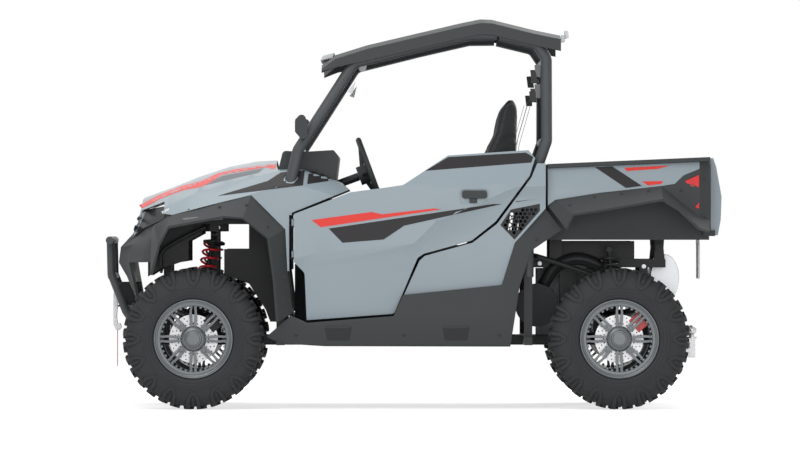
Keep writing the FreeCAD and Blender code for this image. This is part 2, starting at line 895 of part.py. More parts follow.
def frame_rails(side):
    """One side's lower and rear rails, with the two front towers and their head."""
    tube_size = S.frame_tube
    low = S.skid_z + S.skid_wall
    top = low + tube_size
    front = FRONT_END_X
    rear = REAR_END_X
    pieces = []
    y = S.frame_rail_y * side
    pieces.append(square_run(f"lower_rail{side + 1}", rear, front, y, top))
    pieces.append(
        square_run(
            f"rear_rail{side + 1}",
            S.bed_pivot_x - 30,
            S.bulkhead_x - 60,
            S.rear_rail_y * side,
            S.rear_rail_z,
        )
    )
    for n, x in enumerate((ahead(-110), ahead(120))):
        pieces.append(
            box(
                f"tower{side + 1}_{n}",
                x,
                x + tube_size,
                y - tube_size / 2,
                y + tube_size / 2,
                low,
                S.tower_top_z,
            )
        )
    pieces.append(
        box(
            f"tower_head{side + 1}",
            ahead(-150),
            ahead(120) + tube_size,
            y - tube_size / 2,
            y + tube_size / 2,
            S.tower_top_z - tube_size,
            S.tower_top_z,
        )
    )
    return pieces


def frame_rear_posts(side):
    """One side's posts under the bed, with the foot that carries the rearmost one."""
    tube_size = S.frame_tube
    low = S.skid_z + S.skid_wall
    top = low + tube_size
    rear = REAR_END_X
    pieces = []
    for n, x in enumerate((REAR_POST_X, behind(150))):
        pieces.append(
            box(
                f"rear_post{side + 1}_{n}",
                x,
                x + tube_size,
                S.rear_rail_y * side - tube_size / 2,
                S.rear_rail_y * side + tube_size / 2,
                top - tube_size,
                S.rear_rail_z,
            )
        )
    pieces.append(
        box(
            f"rear_foot{side + 1}",
            rear,
            REAR_POST_X + tube_size,
            S.rear_rail_y * side - tube_size / 2,
            S.rear_rail_y * side + tube_size / 2,
            low,
            top,
        )
    )
    return pieces


def frame_cab_side(side):
    """One side's arms and posts under the cab, with the door's brackets and the damper's post."""
    tube_size = S.frame_tube
    low = S.skid_z + S.skid_wall
    top = low + tube_size
    pieces = []
    pieces.append(
        box(
            f"outrigger{side + 1}",
            S.bulkhead_x - 80,
            S.bulkhead_x - 80 + tube_size,
            S.frame_rail_y * side if side > 0 else -OUTRIGGER_Y,
            OUTRIGGER_Y if side > 0 else S.frame_rail_y * side,
            low,
            top,
        )
    )
    pieces.append(
        box(
            f"cage_post{side + 1}",
            S.bulkhead_x - 80,
            S.bulkhead_x - 80 + tube_size,
            CAGE_FOOT_Y * side - 20,
            CAGE_FOOT_Y * side + 20,
            low,
            S.seat_box_z,
        )
    )
    pieces.append(
        box(
            f"cowl_arm{side + 1}",
            COWL_POST_X,
            COWL_POST_X + tube_size,
            S.frame_rail_y * side if side > 0 else -OUTRIGGER_Y,
            OUTRIGGER_Y if side > 0 else S.frame_rail_y * side,
            low,
            top,
        )
    )
    pieces.append(
        box(
            f"cowl_post{side + 1}",
            COWL_POST_X,
            COWL_POST_X + tube_size,
            CAGE_FOOT_Y * side - 20,
            CAGE_FOOT_Y * side + 20,
            low,
            COWL_POST_Z,
        )
    )
    for n, height in enumerate(HINGE_HEIGHTS):
        pieces.append(door_bracket(f"door_bracket{side + 1}_{n}", side, height))
    pieces.append(
        box(
            f"shock_post{side + 1}",
            behind(40) - 15,
            behind(40) + 15,
            S.rear_rail_y * side - tube_size / 2,
            S.rear_rail_y * side + tube_size / 2,
            S.rear_rail_z - 1,
            SHOCK_POST_Z,
        )
    )
    return pieces


def frame_crosses():
    """The members that tie the two sides together."""
    tube_size = S.frame_tube
    low = S.skid_z + S.skid_wall
    top = low + tube_size
    front = FRONT_END_X
    rear = REAR_END_X
    pieces = []
    for n, x in enumerate(
        (front - tube_size, ahead(-110), COWL_POST_X, S.bulkhead_x - 80, behind(150), rear)
    ):
        reach = S.frame_rail_y if n == 1 else S.rear_rail_y + tube_size / 2
        if n == 0:
            reach = S.frame_rail_y + 90
        pieces.append(box(f"cross{n}", x, x + tube_size, -reach, reach, low, top))
    for n, x in enumerate((ahead(120), ahead(-110))):
        pieces.append(
            box(
                f"tower_cross{n}",
                x,
                x + tube_size,
                -S.rear_rail_y - 20,
                S.rear_rail_y + 20,
                S.tower_top_z - tube_size,
                S.tower_top_z,
            )
        )
    for n, x in enumerate((S.bed_pivot_x + 40, S.bulkhead_x - 110)):
        pieces.append(
            box(
                f"bed_cross{n}",
                x,
                x + tube_size,
                -S.rear_rail_y,
                S.rear_rail_y,
                S.rear_rail_z - tube_size,
                S.rear_rail_z,
            )
        )
    return pieces


def bed_mounts(side):
    """One side's clevis and pin for the bed, and the block that the bed rests on."""
    pieces = []
    y = S.rear_rail_y * side
    for n, shift in enumerate((-20, 12)):
        pieces.append(
            plate(
                f"clevis{side + 1}_{n}",
                [
                    (S.bed_pivot_x - 28, S.rear_rail_z - 20),
                    (S.bed_pivot_x + 28, S.rear_rail_z - 20),
                    (S.bed_pivot_x + 18, S.bed_pivot_z + 18, 14),
                    (S.bed_pivot_x - 18, S.bed_pivot_z + 18, 14),
                ],
                y + shift,
                y + shift + 8,
            )
        )
    pieces.append(
        rod(
            f"bed_pin{side + 1}",
            S.pin_radius,
            (S.bed_pivot_x, y - 24, S.bed_pivot_z),
            (S.bed_pivot_x, y + 24, S.bed_pivot_z),
        )
    )
    pieces.append(
        box(
            f"bed_rest{side + 1}",
            S.bulkhead_x - 230,
            S.bulkhead_x - 170,
            y - 20,
            y + 20,
            S.rear_rail_z - 1,
            S.bed_under_z - S.running_gap,
        )
    )
    return pieces


def chassis_frame(sills):
    """The welded frame, cut back where the sill mouldings lap it."""
    pieces = frame_crosses()
    for side in (-1, 1):
        pieces += frame_rails(side) + frame_rear_posts(side) + frame_cab_side(side) + bed_mounts(side)
    node("chassis_frame", cut("chassis_frame_whole", fused("chassis_frame_solid", pieces), sills))


def skid_plate():
    """A flat belly plate that turns up at the nose."""
    line = [
        (REAR_END_X, S.skid_z + S.skid_wall),
        (ahead(205), S.skid_z + S.skid_wall),
        (ahead(310), S.skid_z + 118),
    ]
    item = plate(
        "skid_plate_body", strip_outline(line, S.skid_wall), -(S.frame_rail_y + 20), S.frame_rail_y + 20
    )
    node("skid_plate", item)


def column_run():
    """The top of the column, its joint under the dash and its foot at the rack."""
    axis = steering_axis()
    centre = vec(S.steering_x, SEAT_Y, S.steering_z)
    return centre - axis * float(60 + S.running_gap), centre - axis * 340, vec(
        ahead(S.tie_rod_ahead), 60, S.tie_rod_z + 14
    )


def column_bore(name, radius):
    """The clear way for the steering shaft."""
    top, joint, foot = column_run()
    return fused(
        name + "_way",
        [rod(name + "_way_low", radius, joint, foot), rod(name + "_way_top", radius, top, joint)],
    )


def cab_tub():
    """The floor, toe board, seat box and bulkhead as one moulding, with the centre tunnel."""
    wide = S.cab_half_width
    line = [
        (ahead(-420), FLOOR_Z + 560),
        (ahead(-440), FLOOR_Z + 150),
        (ahead(-520), FLOOR_Z),
        (from_door(-500), FLOOR_Z),
        (from_door(-515), S.seat_box_z),
        (S.bulkhead_x + 30, S.seat_box_z),
        (S.bulkhead_x - 30, S.seat_box_z + 480),
    ]
    shell = plate("tub_shell", strip_outline(line[::-1], S.floor_wall), -wide, wide)
    tunnel = box(
        "tub_tunnel",
        from_door(-510),
        ahead(-480),
        -TUNNEL_HALF,
        TUNNEL_HALF,
        FLOOR_Z - S.floor_wall,
        S.seat_box_z + 60,
    )
    cheeks = []
    for side in (-1, 1):
        edge = S.cab_half_width * side
        cheeks.append(
            box(
                f"tub_cheek{side + 1}",
                S.bulkhead_x + 20,
                from_door(-512),
                edge - S.floor_wall if side > 0 else edge,
                edge if side > 0 else edge + S.floor_wall,
                FLOOR_Z - S.floor_wall,
                S.seat_box_z,
            )
        )
    whole = fused("cab_tub_solid", [shell, tunnel] + cheeks)
    node("cab_tub", cut("cab_tub_whole", whole, column_bore("tub", S.column_radius * 0.6 + 4)))


# Body panels


def flare(name, stations, wall):
    """A faceted wheel arch flare between its edge on the body and its outer lip."""
    outer = [(vec(*a), vec(*b)) for a, b in stations]
    sections = []
    for i, (a, b) in enumerate(outer):
        before = outer[max(i - 1, 0)][0]
        after = outer[min(i + 1, len(outer) - 1)][0]
        inward = (after - before).cross(b - a).normalize() * float(wall)
        sections.append([a, b, b + inward, a + inward])
    item = doc.addObject("Part::Feature", name)
    item.Shape = Part.makeLoft([Part.makePolygon(s + s[:1]) for s in sections], True, True)
    return item


def fender_line(dx):
    """The fender's outer line in Y and Z at a distance ahead of the front axle."""
    top = between(dx, STRIP_LINE)
    shoulder = between(dx, SHOULDER_LINE)
    inset = 60 if dx > 200 else 0
    inner_y = S.hood_y + S.running_gap
    if dx < -400:
        inner_y = DASH_HALF + 4
        top = shoulder + 14
    return [
        (inner_y, top),
        (BODY_Y - 100 - inset, shoulder + 6),
        (BODY_Y - 8 - inset, shoulder - 70),
        (BODY_Y + 4 - inset, shoulder - 170),
        (BODY_Y + 4 - inset, 600),
    ]


def fender_side(dx, z):
    """The fender's outer Y at a height."""
    return between(z, [(height, y) for y, height in fender_line(dx)[1:]])


def front_flare():
    lip = FLARE_Y
    edge = [
        (204, 870),
        (191, 892),
        (104, 943),
        (-128, 1003),
        (-279, 1039),
        (-446, 873),
        (-456, 666),
        (-480, 466),
    ]
    rim = [(210, 60, 650), (167, 20, 800), (120, 0, 887), (-145, 0, 936), (-241, 0, 927), (-365, 0, 827),
           (-395, 0, 627), (-410, 0, 424)]
    stations = []
    for (dx, z), (rim_dx, inset, rim_z) in zip(edge, rim):
        y = Dim(fender_side(dx, z), repr(fender_side(dx, z))) - 4
        stations.append(((ahead(dx), y, z), (ahead(rim_dx), lip - inset, rim_z)))
    return flare("front_flare", stations, S.panel_wall)


def rear_flare():
    """The bed's flare, which ends in the dark corner that holds the lamp."""
    edge = BED_SIDE_Y + 4
    lip = REAR_LIP_Y
    arch = flare(
        "rear_flare_arch",
        [
            ((from_bed(-6), edge, 985), (from_bed(-91), lip, 872)),
            ((from_bed(-41), edge, 1013), (from_bed(-125), lip, 945)),
            ((from_bed(-257), edge, 1047), (from_bed(-258), lip, 966)),
            ((from_bed(-556), edge, 1080), (from_bed(-556), lip, 1018)),
            ((from_bed(-640), edge, 1010), (from_bed(-640), lip, 970)),
            ((from_bed(-740), edge - 6, 930), (from_bed(-735), lip - 16, 880)),
            ((from_bed(-790), edge - 30, 912), (from_bed(-786), lip - 70, 864)),
        ],
        S.panel_wall,
    )
    corner_line = [
        (S.bed_rear_x, bed_side_line(S.bed_rear_x, 46)),
        (from_bed(-740), bed_side_line(from_bed(-740), 8)),
        (from_bed(-540), bed_side_line(from_bed(-540), -2)),
    ]
    skin = side_skin("corner_skin", corner_line[::-1], 30)
    blank = plate(
        "corner_blank",
        [
            (from_bed(-552), 1078),
            (from_bed(-619), 1089.4),
            (from_bed(-662), 1130.4),
            (from_bed(-740) - 0.3, 1162.8),
            (from_bed(-740) - 0.3, 1230),
            (S.bed_rear_x, 1230),
            (S.bed_rear_x, 866),
            (from_bed(-766), 868),
            (from_bed(-735), 890),
            (from_bed(-640), 972),
        ],
        S.bed_half_width + 20,
        REAR_LIP_Y,
    )
    return fused("rear_flare", [arch, common("corner", skin, blank)])


HOOD_LINE = [(235, 1026), (122, 1077), (-12, 1130), (-160, 1179), (-295, 1205), (-420, 1212)]
STRIP_LINE = [
    (262, 985), (111, 1055), (-28, 1103), (-217, 1166), (-386, 1188), (-520, 1196), (-760, 1120)
]
SHOULDER_LINE = [
    (235, 930), (112, 985), (-29, 1042), (-271, 1109), (-418, 1150), (-560, 1150), (-760, 1062)
]


def fender(flare_solid):
    """The painted side panel from the nose to a point above the door."""
    stations = []
    for dx in (HOOD_NOSE, 201, 199, 120, -29, -160, -279, -395, -406, -520, -640, -760):
        stations.append((ahead(dx), fender_line(dx)))
    skin = side_skin("fender_skin", stations, S.panel_wall)
    blank = plate(
        "fender_blank",
        [
            (ahead(HOOD_NOSE), 1100),
            (ahead(HOOD_NOSE), 962),
            (ahead(146), 1006),
            (ahead(144), 946),
            (ahead(104), 941),
            (ahead(-128), 1001),
            (ahead(-279), 1036),
            (ahead(-444), 871),
            (ahead(-454), 670),
            (from_door(S.door_gap), 670),
            (from_door(S.door_gap), 951),
            (from_door(-270), 1062),
            (from_door(-200), 1130),
            (from_door(-100), 1260),
        ],
        S.hood_y,
        FLARE_Y,
    )
    panel = common("fender_panel", skin, blank)
    relief = rod(
        "fender_relief",
        S.hinge_barrel_radius + S.moving_gap + 6,
        (S.door_hinge_x, HINGE_Y, 560),
        (S.door_hinge_x, HINGE_Y, 940),
    )
    return cut("fender", panel, fused("fender_ways", [flare_solid, pillar_way(), relief]))


def pillar_way():
    """The hole that the windscreen pillar passes through."""
    return rod(
        "pillar_way",
        S.cage_radius + 2,
        (from_door(55), CAGE_FOOT_Y, 930),
        (from_door(-23), CAGE_FOOT_Y - 4, 1255),
    )


def hood():
    """The raised bonnet between the fenders."""
    stations = []
    for dx in (HOOD_NOSE, 120, -12, -160, -295, -395):
        middle = between(dx, HOOD_LINE)
        edge = between(dx, STRIP_LINE)
        half = S.hood_y - S.running_gap
        ridge = half * 0.62
        line = [(-half, edge), (-ridge, middle - 12), (0, middle), (ridge, middle - 12), (half, edge)]
        stations.append((ahead(dx), line))
    return node("hood", side_skin("hood_skin", stations, S.panel_wall))


FASCIA_LINES = [
    (0, [(1008, 263), (900, 292), (850, 312), (785, 372), (709, 380), (641, 340), (523, 288)]),
    (300, [(985, 263), (900, 285), (850, 306), (785, 366), (709, 376), (641, 337), (523, 288)]),
    (335, [(962, 256), (900, 270), (834, 290), (785, 350), (709, 364), (641, 330), (523, 284)]),
    (440, [(976, 188), (920, 215), (866, 242), (800, 294), (760, 316), (735, 322), (710, 322)]),
    (590, [(990, 110), (950, 130), (906, 142), (830, 212), (780, 240), (745, 248), (712, 250)]),
    (650, [(938, 106), (915, 118), (890, 128), (825, 170), (780, 190), (748, 198), (716, 204)]),
]


def front_fascia(lamps, tools):
    """The dark nose between the fenders and the bumper, with its grille slots and winch opening."""
    stations = []
    for y, line in FASCIA_LINES:
        stations.append((y, [(ahead(dx), z) for z, dx in line]))
    mirror_stations = [(-y, line) for y, line in stations[:0:-1]]
    skin = cross_skin("fascia_skin", (mirror_stations + stations)[::-1], S.panel_wall)
    mouth = box("fascia_mouth", ahead(200), ahead(420), -175, 175, 480, 650)
    slots = []
    for n, z in enumerate((740, 800, 868, 912)):
        slots.append(
            box(f"grille_slot{n}", ahead(230), ahead(420), -150 - 14 * n, 150 + 14 * n, z, z + 26)
        )
    whole = cut("front_fascia_whole", skin, fused("fascia_tools", [mouth] + slots + tools + lamps))
    node("front_fascia", whole)


def headlamp():
    """A lamp that wraps round the corner of the nose under the fender's edge."""
    deep = 46
    stations = [
        (330, [(842, 298), (898, 280), (958, 262)]),
        (440, [(878, 246), (922, 226), (968, 200)]),
        (580, [(920, 148), (946, 142), (978, 128)]),
    ]
    sections = []
    for y, line in stations:
        front = [(ahead(dx), y, z) for z, dx in line]
        back = [(ahead(dx - deep), y, z) for z, dx in line[::-1]]
        sections.append(front + back)
    return loft("headlamp", sections)


def front_liner():
    """The inner wall of the front arch, with a box behind the damper."""
    outline = [
        (ahead(232), 840),
        (ahead(232), 640),
        (ahead(160), 684),
        (ahead(90), 708),
        (ahead(34), 716),
        (ahead(34), 814),
        (ahead(-32), 850),
        (ahead(-32), 896),
        (ahead(-261), 896),
        (ahead(-261), 775),
        (ahead(-140), 775),
        (ahead(-140), 650),
        (ahead(-261), 606),
        (ahead(-342), 480),
        (ahead(-365), 420),
        (ahead(-400), 420),
        (ahead(-400), 915),
        (ahead(-128), 928),
        (ahead(104), 910),
    ]
    wall = plate("front_liner_wall", outline, LINER_Y, LINER_Y + S.liner_wall)
    case = box("front_liner_case", ahead(-300), ahead(-141), 236, LINER_Y + 1, 652, 774)
    return fused("front_liner", [wall, case])


def side_y_line(x_from_door, top):
    """The door's outer line in Y and Z, from its top to its foot."""
    skin = DOOR_SKIN_Y
    low_step = between(x_from_door, [(-700, 560), (-517, 547), (-165, 501), (-60, 470)])
    bulge = between(x_from_door, [(-1100, 1078), (-633, 868), (-585, 791), (-121, 745), (0, 720)])
    crease = between(x_from_door, [(-1137, 1105), (-686, 1065), (-370, 1061), (-58, 955), (0, 940)])
    return [
        (skin - 26, top),
        (skin + 4, crease),
        (skin + 10, min(bulge + 12, crease - 24)),
        (skin - 12, max(bulge - 50, low_step + 30)),
        (skin - 26, low_step),
        (skin - 34, 400),
    ]


def door(label):
    """A half door as thick as the whole leaf, with its creased bulge."""
    stations = []
    for dx in (-4, -121, -370, -585, -686, -900, -1080, -1180):
        stations.append((from_door(dx), side_y_line(dx, 1270)))
    skin = side_skin(label + "_skin", stations, S.door_wall)
    blank = plate(
        label + "_blank",
        [
            (from_door(-5), 945),
            (from_door(-5), 713),
            (from_door(-56), 660, 30),
            (from_door(-66), 432),
            (from_door(-488), 463, 20),
            (from_door(-602), 733, 20),
            (from_door(-634), 754, 20),
            (from_door(-864), 817, 40),
            (from_door(-979), 909, 40),
            (from_door(-1143), 1130),
            (from_door(-1170), 1215),
            (from_door(-1138), 1254),
            (from_door(-749), 1228),
            (from_door(-638), 1155, 40),
            (from_door(-532), 1085, 40),
            (from_door(-442), 1072),
            (from_door(-276), 1050),
        ],
        DOOR_SKIN_Y - 100,
        DOOR_SKIN_Y + 60,
    )
    leaf = common(label + "_panel", skin, blank)
    reliefs = []
    barrels = []
    bores = []
    for n, height in enumerate(HINGE_HEIGHTS):
        x = S.door_hinge_x
        reliefs.append(
            rod(
                f"{label}_relief{n}",
                S.hinge_barrel_radius + S.moving_gap,
                (x, HINGE_Y, height - 14),
                (x, HINGE_Y, height + 0.1),
            ),
        )
        barrels.append(
            rod(
                f"{label}_barrel{n}",
                S.hinge_barrel_radius,
                (x, HINGE_Y, height + S.running_gap),
                (x, HINGE_Y, height + 32),
            )
        )
        bores.append(
            rod(
                f"{label}_bore{n}",
                S.hinge_pin_radius + S.running_gap,
                (x, HINGE_Y, height - 20),
                (x, HINGE_Y, height + 40),
            )
        )
    relieved = cut(label + "_relieved", leaf, fused(label + "_reliefs", reliefs))
    return cut(
        label + "_leaf", fused(label + "_hinged", [relieved] + barrels), fused(label + "_bores", bores)
    )


def rear_quarter():
    """The painted panel between the door's rear edge and the rear arch."""
    stations = []
    for dx in (-500, -585, -686, -900, -1080, -1230):
        stations.append((from_door(dx), side_y_line(dx, 1270)))
    skin = side_skin("quarter_skin", stations, S.panel_wall)
    blank = plate(
        "quarter_blank",
        [
            (from_door(-536), 553 + S.running_gap),
            (from_door(-1010), 601 + S.running_gap),
            (from_door(-1073), 806),
            (from_door(-1221), 972),
            (from_door(-1221), 1190),
            (from_door(-1180), 1190),
            (from_door(-1152), 1122),
            (from_door(-987), 899, 40),
            (from_door(-869), 807, 40),
            (from_door(-637), 743),
            (from_door(-611), 720),
        ],
        DOOR_SKIN_Y - 100,
        DOOR_SKIN_Y + 60,
    )
    return skin, common("quarter_panel", skin, blank)


VENT_OUTLINE = [(-1003, 892), (-1053, 966), (-1192, 994), (-1192, 960), (-1071, 822)]


def inside(x, z, outline, margin):
    """Whether a point lies in a convex outline, at least a margin from its sides."""
    for (x0, z0), (x1, z1) in zip(outline, outline[1:] + outline[:1]):
        away = ((x1 - x0) * (z - z0) - (z1 - z0) * (x - x0)) / math.hypot(x1 - x0, z1 - z0)
        if away < margin:
            return False
    return True


def side_vent(skin):
    """A mesh of six sided holes that follows the quarter panel."""
    corners = [(from_door(dx), z) for dx, z in VENT_OUTLINE]
    frame = plate("vent_frame", corners, DOOR_SKIN_Y - 100, DOOR_SKIN_Y + 60)
    sheet_part = common("vent_sheet", skin, frame)
    pitch = float(S.mesh_pitch)
    outline = [(float(x), z) for x, z in corners]
    holes = []
    for row in range(-6, 7):
        for column in range(-6, 7):
            x = float(from_door(-1100)) + pitch * (column + 0.5 * (row % 2))
            z = 910 + pitch * 0.866 * row
            if not inside(x, z, outline, pitch * 0.5):
                continue
            hole = doc.addObject("Part::Prism", f"vent_hole{len(holes)}")
            hole.Polygon = 6
            hole.setExpression("Circumradius", "Sizes.mesh_pitch * 0.44")
            hole.Height = 200
            hole.Placement = Placement(
                vec(x, DOOR_SKIN_Y - 100, z), Rotation(
                    Vector(1, 0, 0), Vector(0, 0, -1), Vector(0, 1, 0), "ZXY"
                )
            )
            holes.append(hole)
    ways = doc.addObject("Part::Compound", "vent_ways")
    ways.Links = holes
    return cut("side_vent", sheet_part, ways)


def vent_opening():
    """The quarter panel's hole, a running gap wider than the mesh."""
    body = doc.addObject("PartDesign::Body", "vent_opening")
    corners = [vec(from_door(dx), z, 0) for dx, z in VENT_OUTLINE]
    middle = sum(corners, Vector()) * (1 / len(corners))
    grown = [c + (c - middle).normalize() * (float(S.running_gap) * 1.6) for c in corners]
    sketch = outline_sketch(
        body, "vent_opening_outline", "XZ_Plane", [(c.x, c.y) for c in grown], -(DOOR_SKIN_Y + 60)
    )
    pad = body.newObject("PartDesign::Pad", "vent_opening_pad")
    pad.Profile = sketch
    pad.Length = 160
    return body


def rocker(flare_solid):
    """The dark sill below the door, rising behind it to the rear arch."""
    blank = plate(
        "rocker_blank",
        [
            (ahead(-352), 352),
            (ahead(-470), 455),
            (from_door(-70), 420),
            (from_door(-486), 452),
            (from_door(-530), 553),
            (from_door(-1010) - S.running_gap, 601),
            (from_door(-1073) - S.running_gap, 806 - 2 * S.running_gap),
            (from_door(-1221), 972 - 2 * S.running_gap),
            (from_door(-1300), 868),
            (from_door(-1152), 768),
            (from_door(-1096), 598),
            (from_door(-1050), S.rocker_foot_z),
            (from_door(-154), S.rocker_foot_z + 2),
            (ahead(-419), 320),
        ],
        DOOR_SKIN_Y - 100,
        DOOR_SKIN_Y + 60,
    )
    skin = side_skin(
        "rocker_skin",
        [
            (ahead(-300), rocker_line(BODY_Y - 10)),
            (from_door(-70), rocker_line(BODY_Y + 22)),
            (from_door(-1012), rocker_line(BODY_Y + 22)),
            (from_door(-1330), rocker_line(BODY_Y - 30)),
        ],
        S.panel_wall + 6,
    )
    return cut("rocker", common("rocker_panel", skin, blank), flare_solid)


def rocker_line(y):
    """The rocker's outer line in Y and Z, from under the bed to its foot."""
    foot = S.rocker_foot_z
    return [(y - 8, 1010), (y + 6, 470), (y + 14, 400), (y - 6, foot + 10), (y - 22, foot - 4)]


# Cage and roof

ROOF_LINE = [
    (446, 1677),
    (373, 1731),
    (222, 1778),
    (-233, 1885),
    (-331, 1905),
    (-386, 1903),
    (-593, 1852),
    (-720, 1826),
]


def roof_top(x):
    return between(x, ROOF_LINE)


def rail_point(x, y):
    """A point of the cage rail, under the roof."""
    z = Dim(roof_top(x), repr(roof_top(x)))
    return (x, y, z - S.roof_crown - S.roof_wall - 4 - S.cage_radius)


def cage_front(roof_solid):
    pieces = []
    for side in (-1, 1):
        top = CAGE_TOP_Y * side
        foot = CAGE_FOOT_Y * side
        pieces.append(
            tube(
                f"a_pillar{side + 1}",
                [
                    (from_door(55), foot, 930),
                    (from_door(-23), foot - 4 * side, 1255),
                    (from_door(-129), foot - 24 * side, 1419),
                    rail_point(282, top),
                    rail_point(-37, top),
                    rail_point(-284, top),
                    rail_point(-411, top),
                ],
                S.cage_radius,
                60,
            )
        )
    corner = rail_point(282, CAGE_TOP_Y)
    pieces.append(
        rod(
            "header",
            S.cage_radius - 3,
            (250, -CAGE_TOP_Y, corner[2] + 6),
            (250, CAGE_TOP_Y, corner[2] + 6),
        ),
    )
    pieces.append(
        rod(
            "cowl_bar",
            S.cage_radius - 3,
            (from_door(-23), -CAGE_FOOT_Y + 4, 1255),
            (from_door(-23), CAGE_FOOT_Y - 4, 1255),
        ),
    )
    for side in (-1, 1):
        for n, x in enumerate((200, -150)):
            foot = rail_point(x, CAGE_TOP_Y * side)
            pieces.append(rod(f"roof_foot{side + 1}_{n}", 16, foot, (x, foot[1], foot[2] + 38)))
    node("cage_front", cut("cage_front_whole", fused("cage_front_solid", pieces), roof_solid))


def cage_rear(roof_solid):
    pieces = []
    for side in (-1, 1):
        top = CAGE_TOP_Y * side
        foot = CAGE_FOOT_Y * side
        pieces.append(
            tube(
                f"b_pillar{side + 1}",
                [
                    rail_point(-425, top),
                    rail_point(-604, top),
                    (S.bulkhead_x - 150, top + 4 * side, 1700),
                    (S.bulkhead_x - 150, foot - 10 * side, 1300),
                    (S.bulkhead_x - 62, foot, 1050),
                    (S.bulkhead_x - 60, foot, S.seat_box_z + S.running_gap),
                ],
                S.cage_radius,
                50,
            )
        )
    back = S.bulkhead_x - 150
    pieces.append(
        rod(
            "shoulder_bar",
            S.cage_radius - 3,
            (back, -CAGE_FOOT_Y + 10, 1300),
            (back, CAGE_FOOT_Y - 10, 1300),
        ),
    )
    pieces.append(
        rod("rear_header", S.cage_radius - 3, (back, -CAGE_TOP_Y - 4, 1690), (back, CAGE_TOP_Y + 4, 1690))
    )
    for side in (-1, 1):
        foot = rail_point(-560, CAGE_TOP_Y * side)
        pieces.append(rod(f"roof_rear_foot{side + 1}", 16, foot, (-560, foot[1], foot[2] + 38)))
    node("cage_rear", cut("cage_rear_whole", fused("cage_rear_solid", pieces), roof_solid))


def roof():
    """A crowned sheet whose edges turn down over the cage rails."""
    stations = []
    for x in (440, 373, 222, -6, -233, -331, -386, -593, -720):
        top = roof_top(x)
        half = ROOF_Y
        edge = min(56.0, max(12.0, (440 - x) * 0.6))
        line = [
            (-half, top - S.roof_crown - edge),
            (-half + 6, top - S.roof_crown),
            (-half * 0.72, top - 12),
            (0, top),
            (half * 0.72, top - 12),
            (half - 6, top - S.roof_crown),
            (half, top - S.roof_crown - edge),
        ]
        stations.append((x, line))
    return node("roof", side_skin("roof_skin", stations, S.roof_wall))


# Cargo bed


def cargo_box():
    """An open tub with a rail round its rim and two hinge ears under its floor."""
    wide = S.bed_half_width
    rim = BED_SIDE_Y + 2
    front = S.bed_front_x - 10
    low = S.bed_rail_z - S.bed_rim_depth
    outer = plate(
        "bed_outer",
        [
            (S.bed_rear_x, S.bed_under_z),
            (front, S.bed_under_z),
            (front, low + 1),
            (S.bed_rear_x, low + S.bed_rail_rise + 1),
        ],
        -wide,
        wide,
    )
    rail = plate(
        "bed_rim",
        [
            (S.bed_rear_x, low + S.bed_rail_rise),
            (front + 6, low),
            (front + 6, S.bed_rail_z),
            (S.bed_rear_x, S.bed_rail_z + S.bed_rail_rise),
        ],
        -rim,
        rim,
    )
    inner = box(
        "bed_inner",
        S.bed_rear_x - 10,
        S.bed_front_x - 10 - S.bed_wall,
        -(wide - S.bed_wall),
        wide - S.bed_wall,
        S.bed_floor_z,
        S.bed_rail_z + S.bed_rail_rise + 10,
    )
    tub = cut("bed_tub", fused("bed_block", [outer, rail]), inner)
    ears = []
    bores = []
    for side in (-1, 1):
        y = S.rear_rail_y * side
        ears.append(
            plate(
                f"bed_ear{side + 1}",
                [
                    (S.bed_pivot_x - 24, S.bed_under_z + 4),
                    (S.bed_pivot_x - 20, S.bed_pivot_z - 20, 16),
                    (S.bed_pivot_x + 20, S.bed_pivot_z - 20, 16),
                    (S.bed_pivot_x + 24, S.bed_under_z + 4),
                ],
                y - 6,
                y + 6,
            )
        )
        bores.append(
            rod(
                f"bed_bore{side + 1}",
                S.pin_radius + S.running_gap,
                (S.bed_pivot_x, y - 10, S.bed_pivot_z),
                (S.bed_pivot_x, y + 10, S.bed_pivot_z),
            )
        )
    lugs = [gate_lug(side) for side in (-1, 1)]
    whole = cut("cargo_box_whole", fused("bed_with_ears", [tub] + ears + lugs), fused("bed_bores", bores))
    node("cargo_box", whole)


def gate_lug(side):
    """A hinge lug outside the end of the tailgate, with its pin."""
    end = GATE_HALF + S.running_gap
    y0 = end if side > 0 else -(end + 14)
    root_y0 = S.bed_half_width - 4 if side > 0 else -(end + 14)
    root = box(
        f"gate_root{side + 1}",
        S.bed_rear_x,
        S.bed_rear_x + 30,
        root_y0,
        root_y0 + 14 + end - S.bed_half_width + 4,
        GATE_PIN_Z - 14,
        GATE_PIN_Z + 14,
    )
    lug = box(
        f"gate_lug{side + 1}",
        GATE_PIN_X - 12,
        S.bed_rear_x + 20,
        y0,
        y0 + 14,
        GATE_PIN_Z - 14,
        GATE_PIN_Z + 14,
    )
    pin_end = (GATE_HALF - 24) * side
    pin = rod(
        f"gate_pin{side + 1}",
        S.gate_pin_radius,
        (GATE_PIN_X, (end + 7) * side, GATE_PIN_Z),
        (GATE_PIN_X, pin_end, GATE_PIN_Z),
    )
    return fused(f"gate_hinge{side + 1}", [root, lug, pin])


def bed_side_line(x, inset):
    """The bed side's outer line in Y and Z, from its top to its foot."""
    y = BED_SIDE_Y - inset
    share = (S.bed_front_x - x) / (S.bed_front_x - S.bed_rear_x)
    top = S.bed_rail_z - S.bed_rim_depth - S.running_gap * 2 + S.bed_rail_rise * share
    return [(y - 14, top), (y + 6, 1060), (y - 2, 850)]


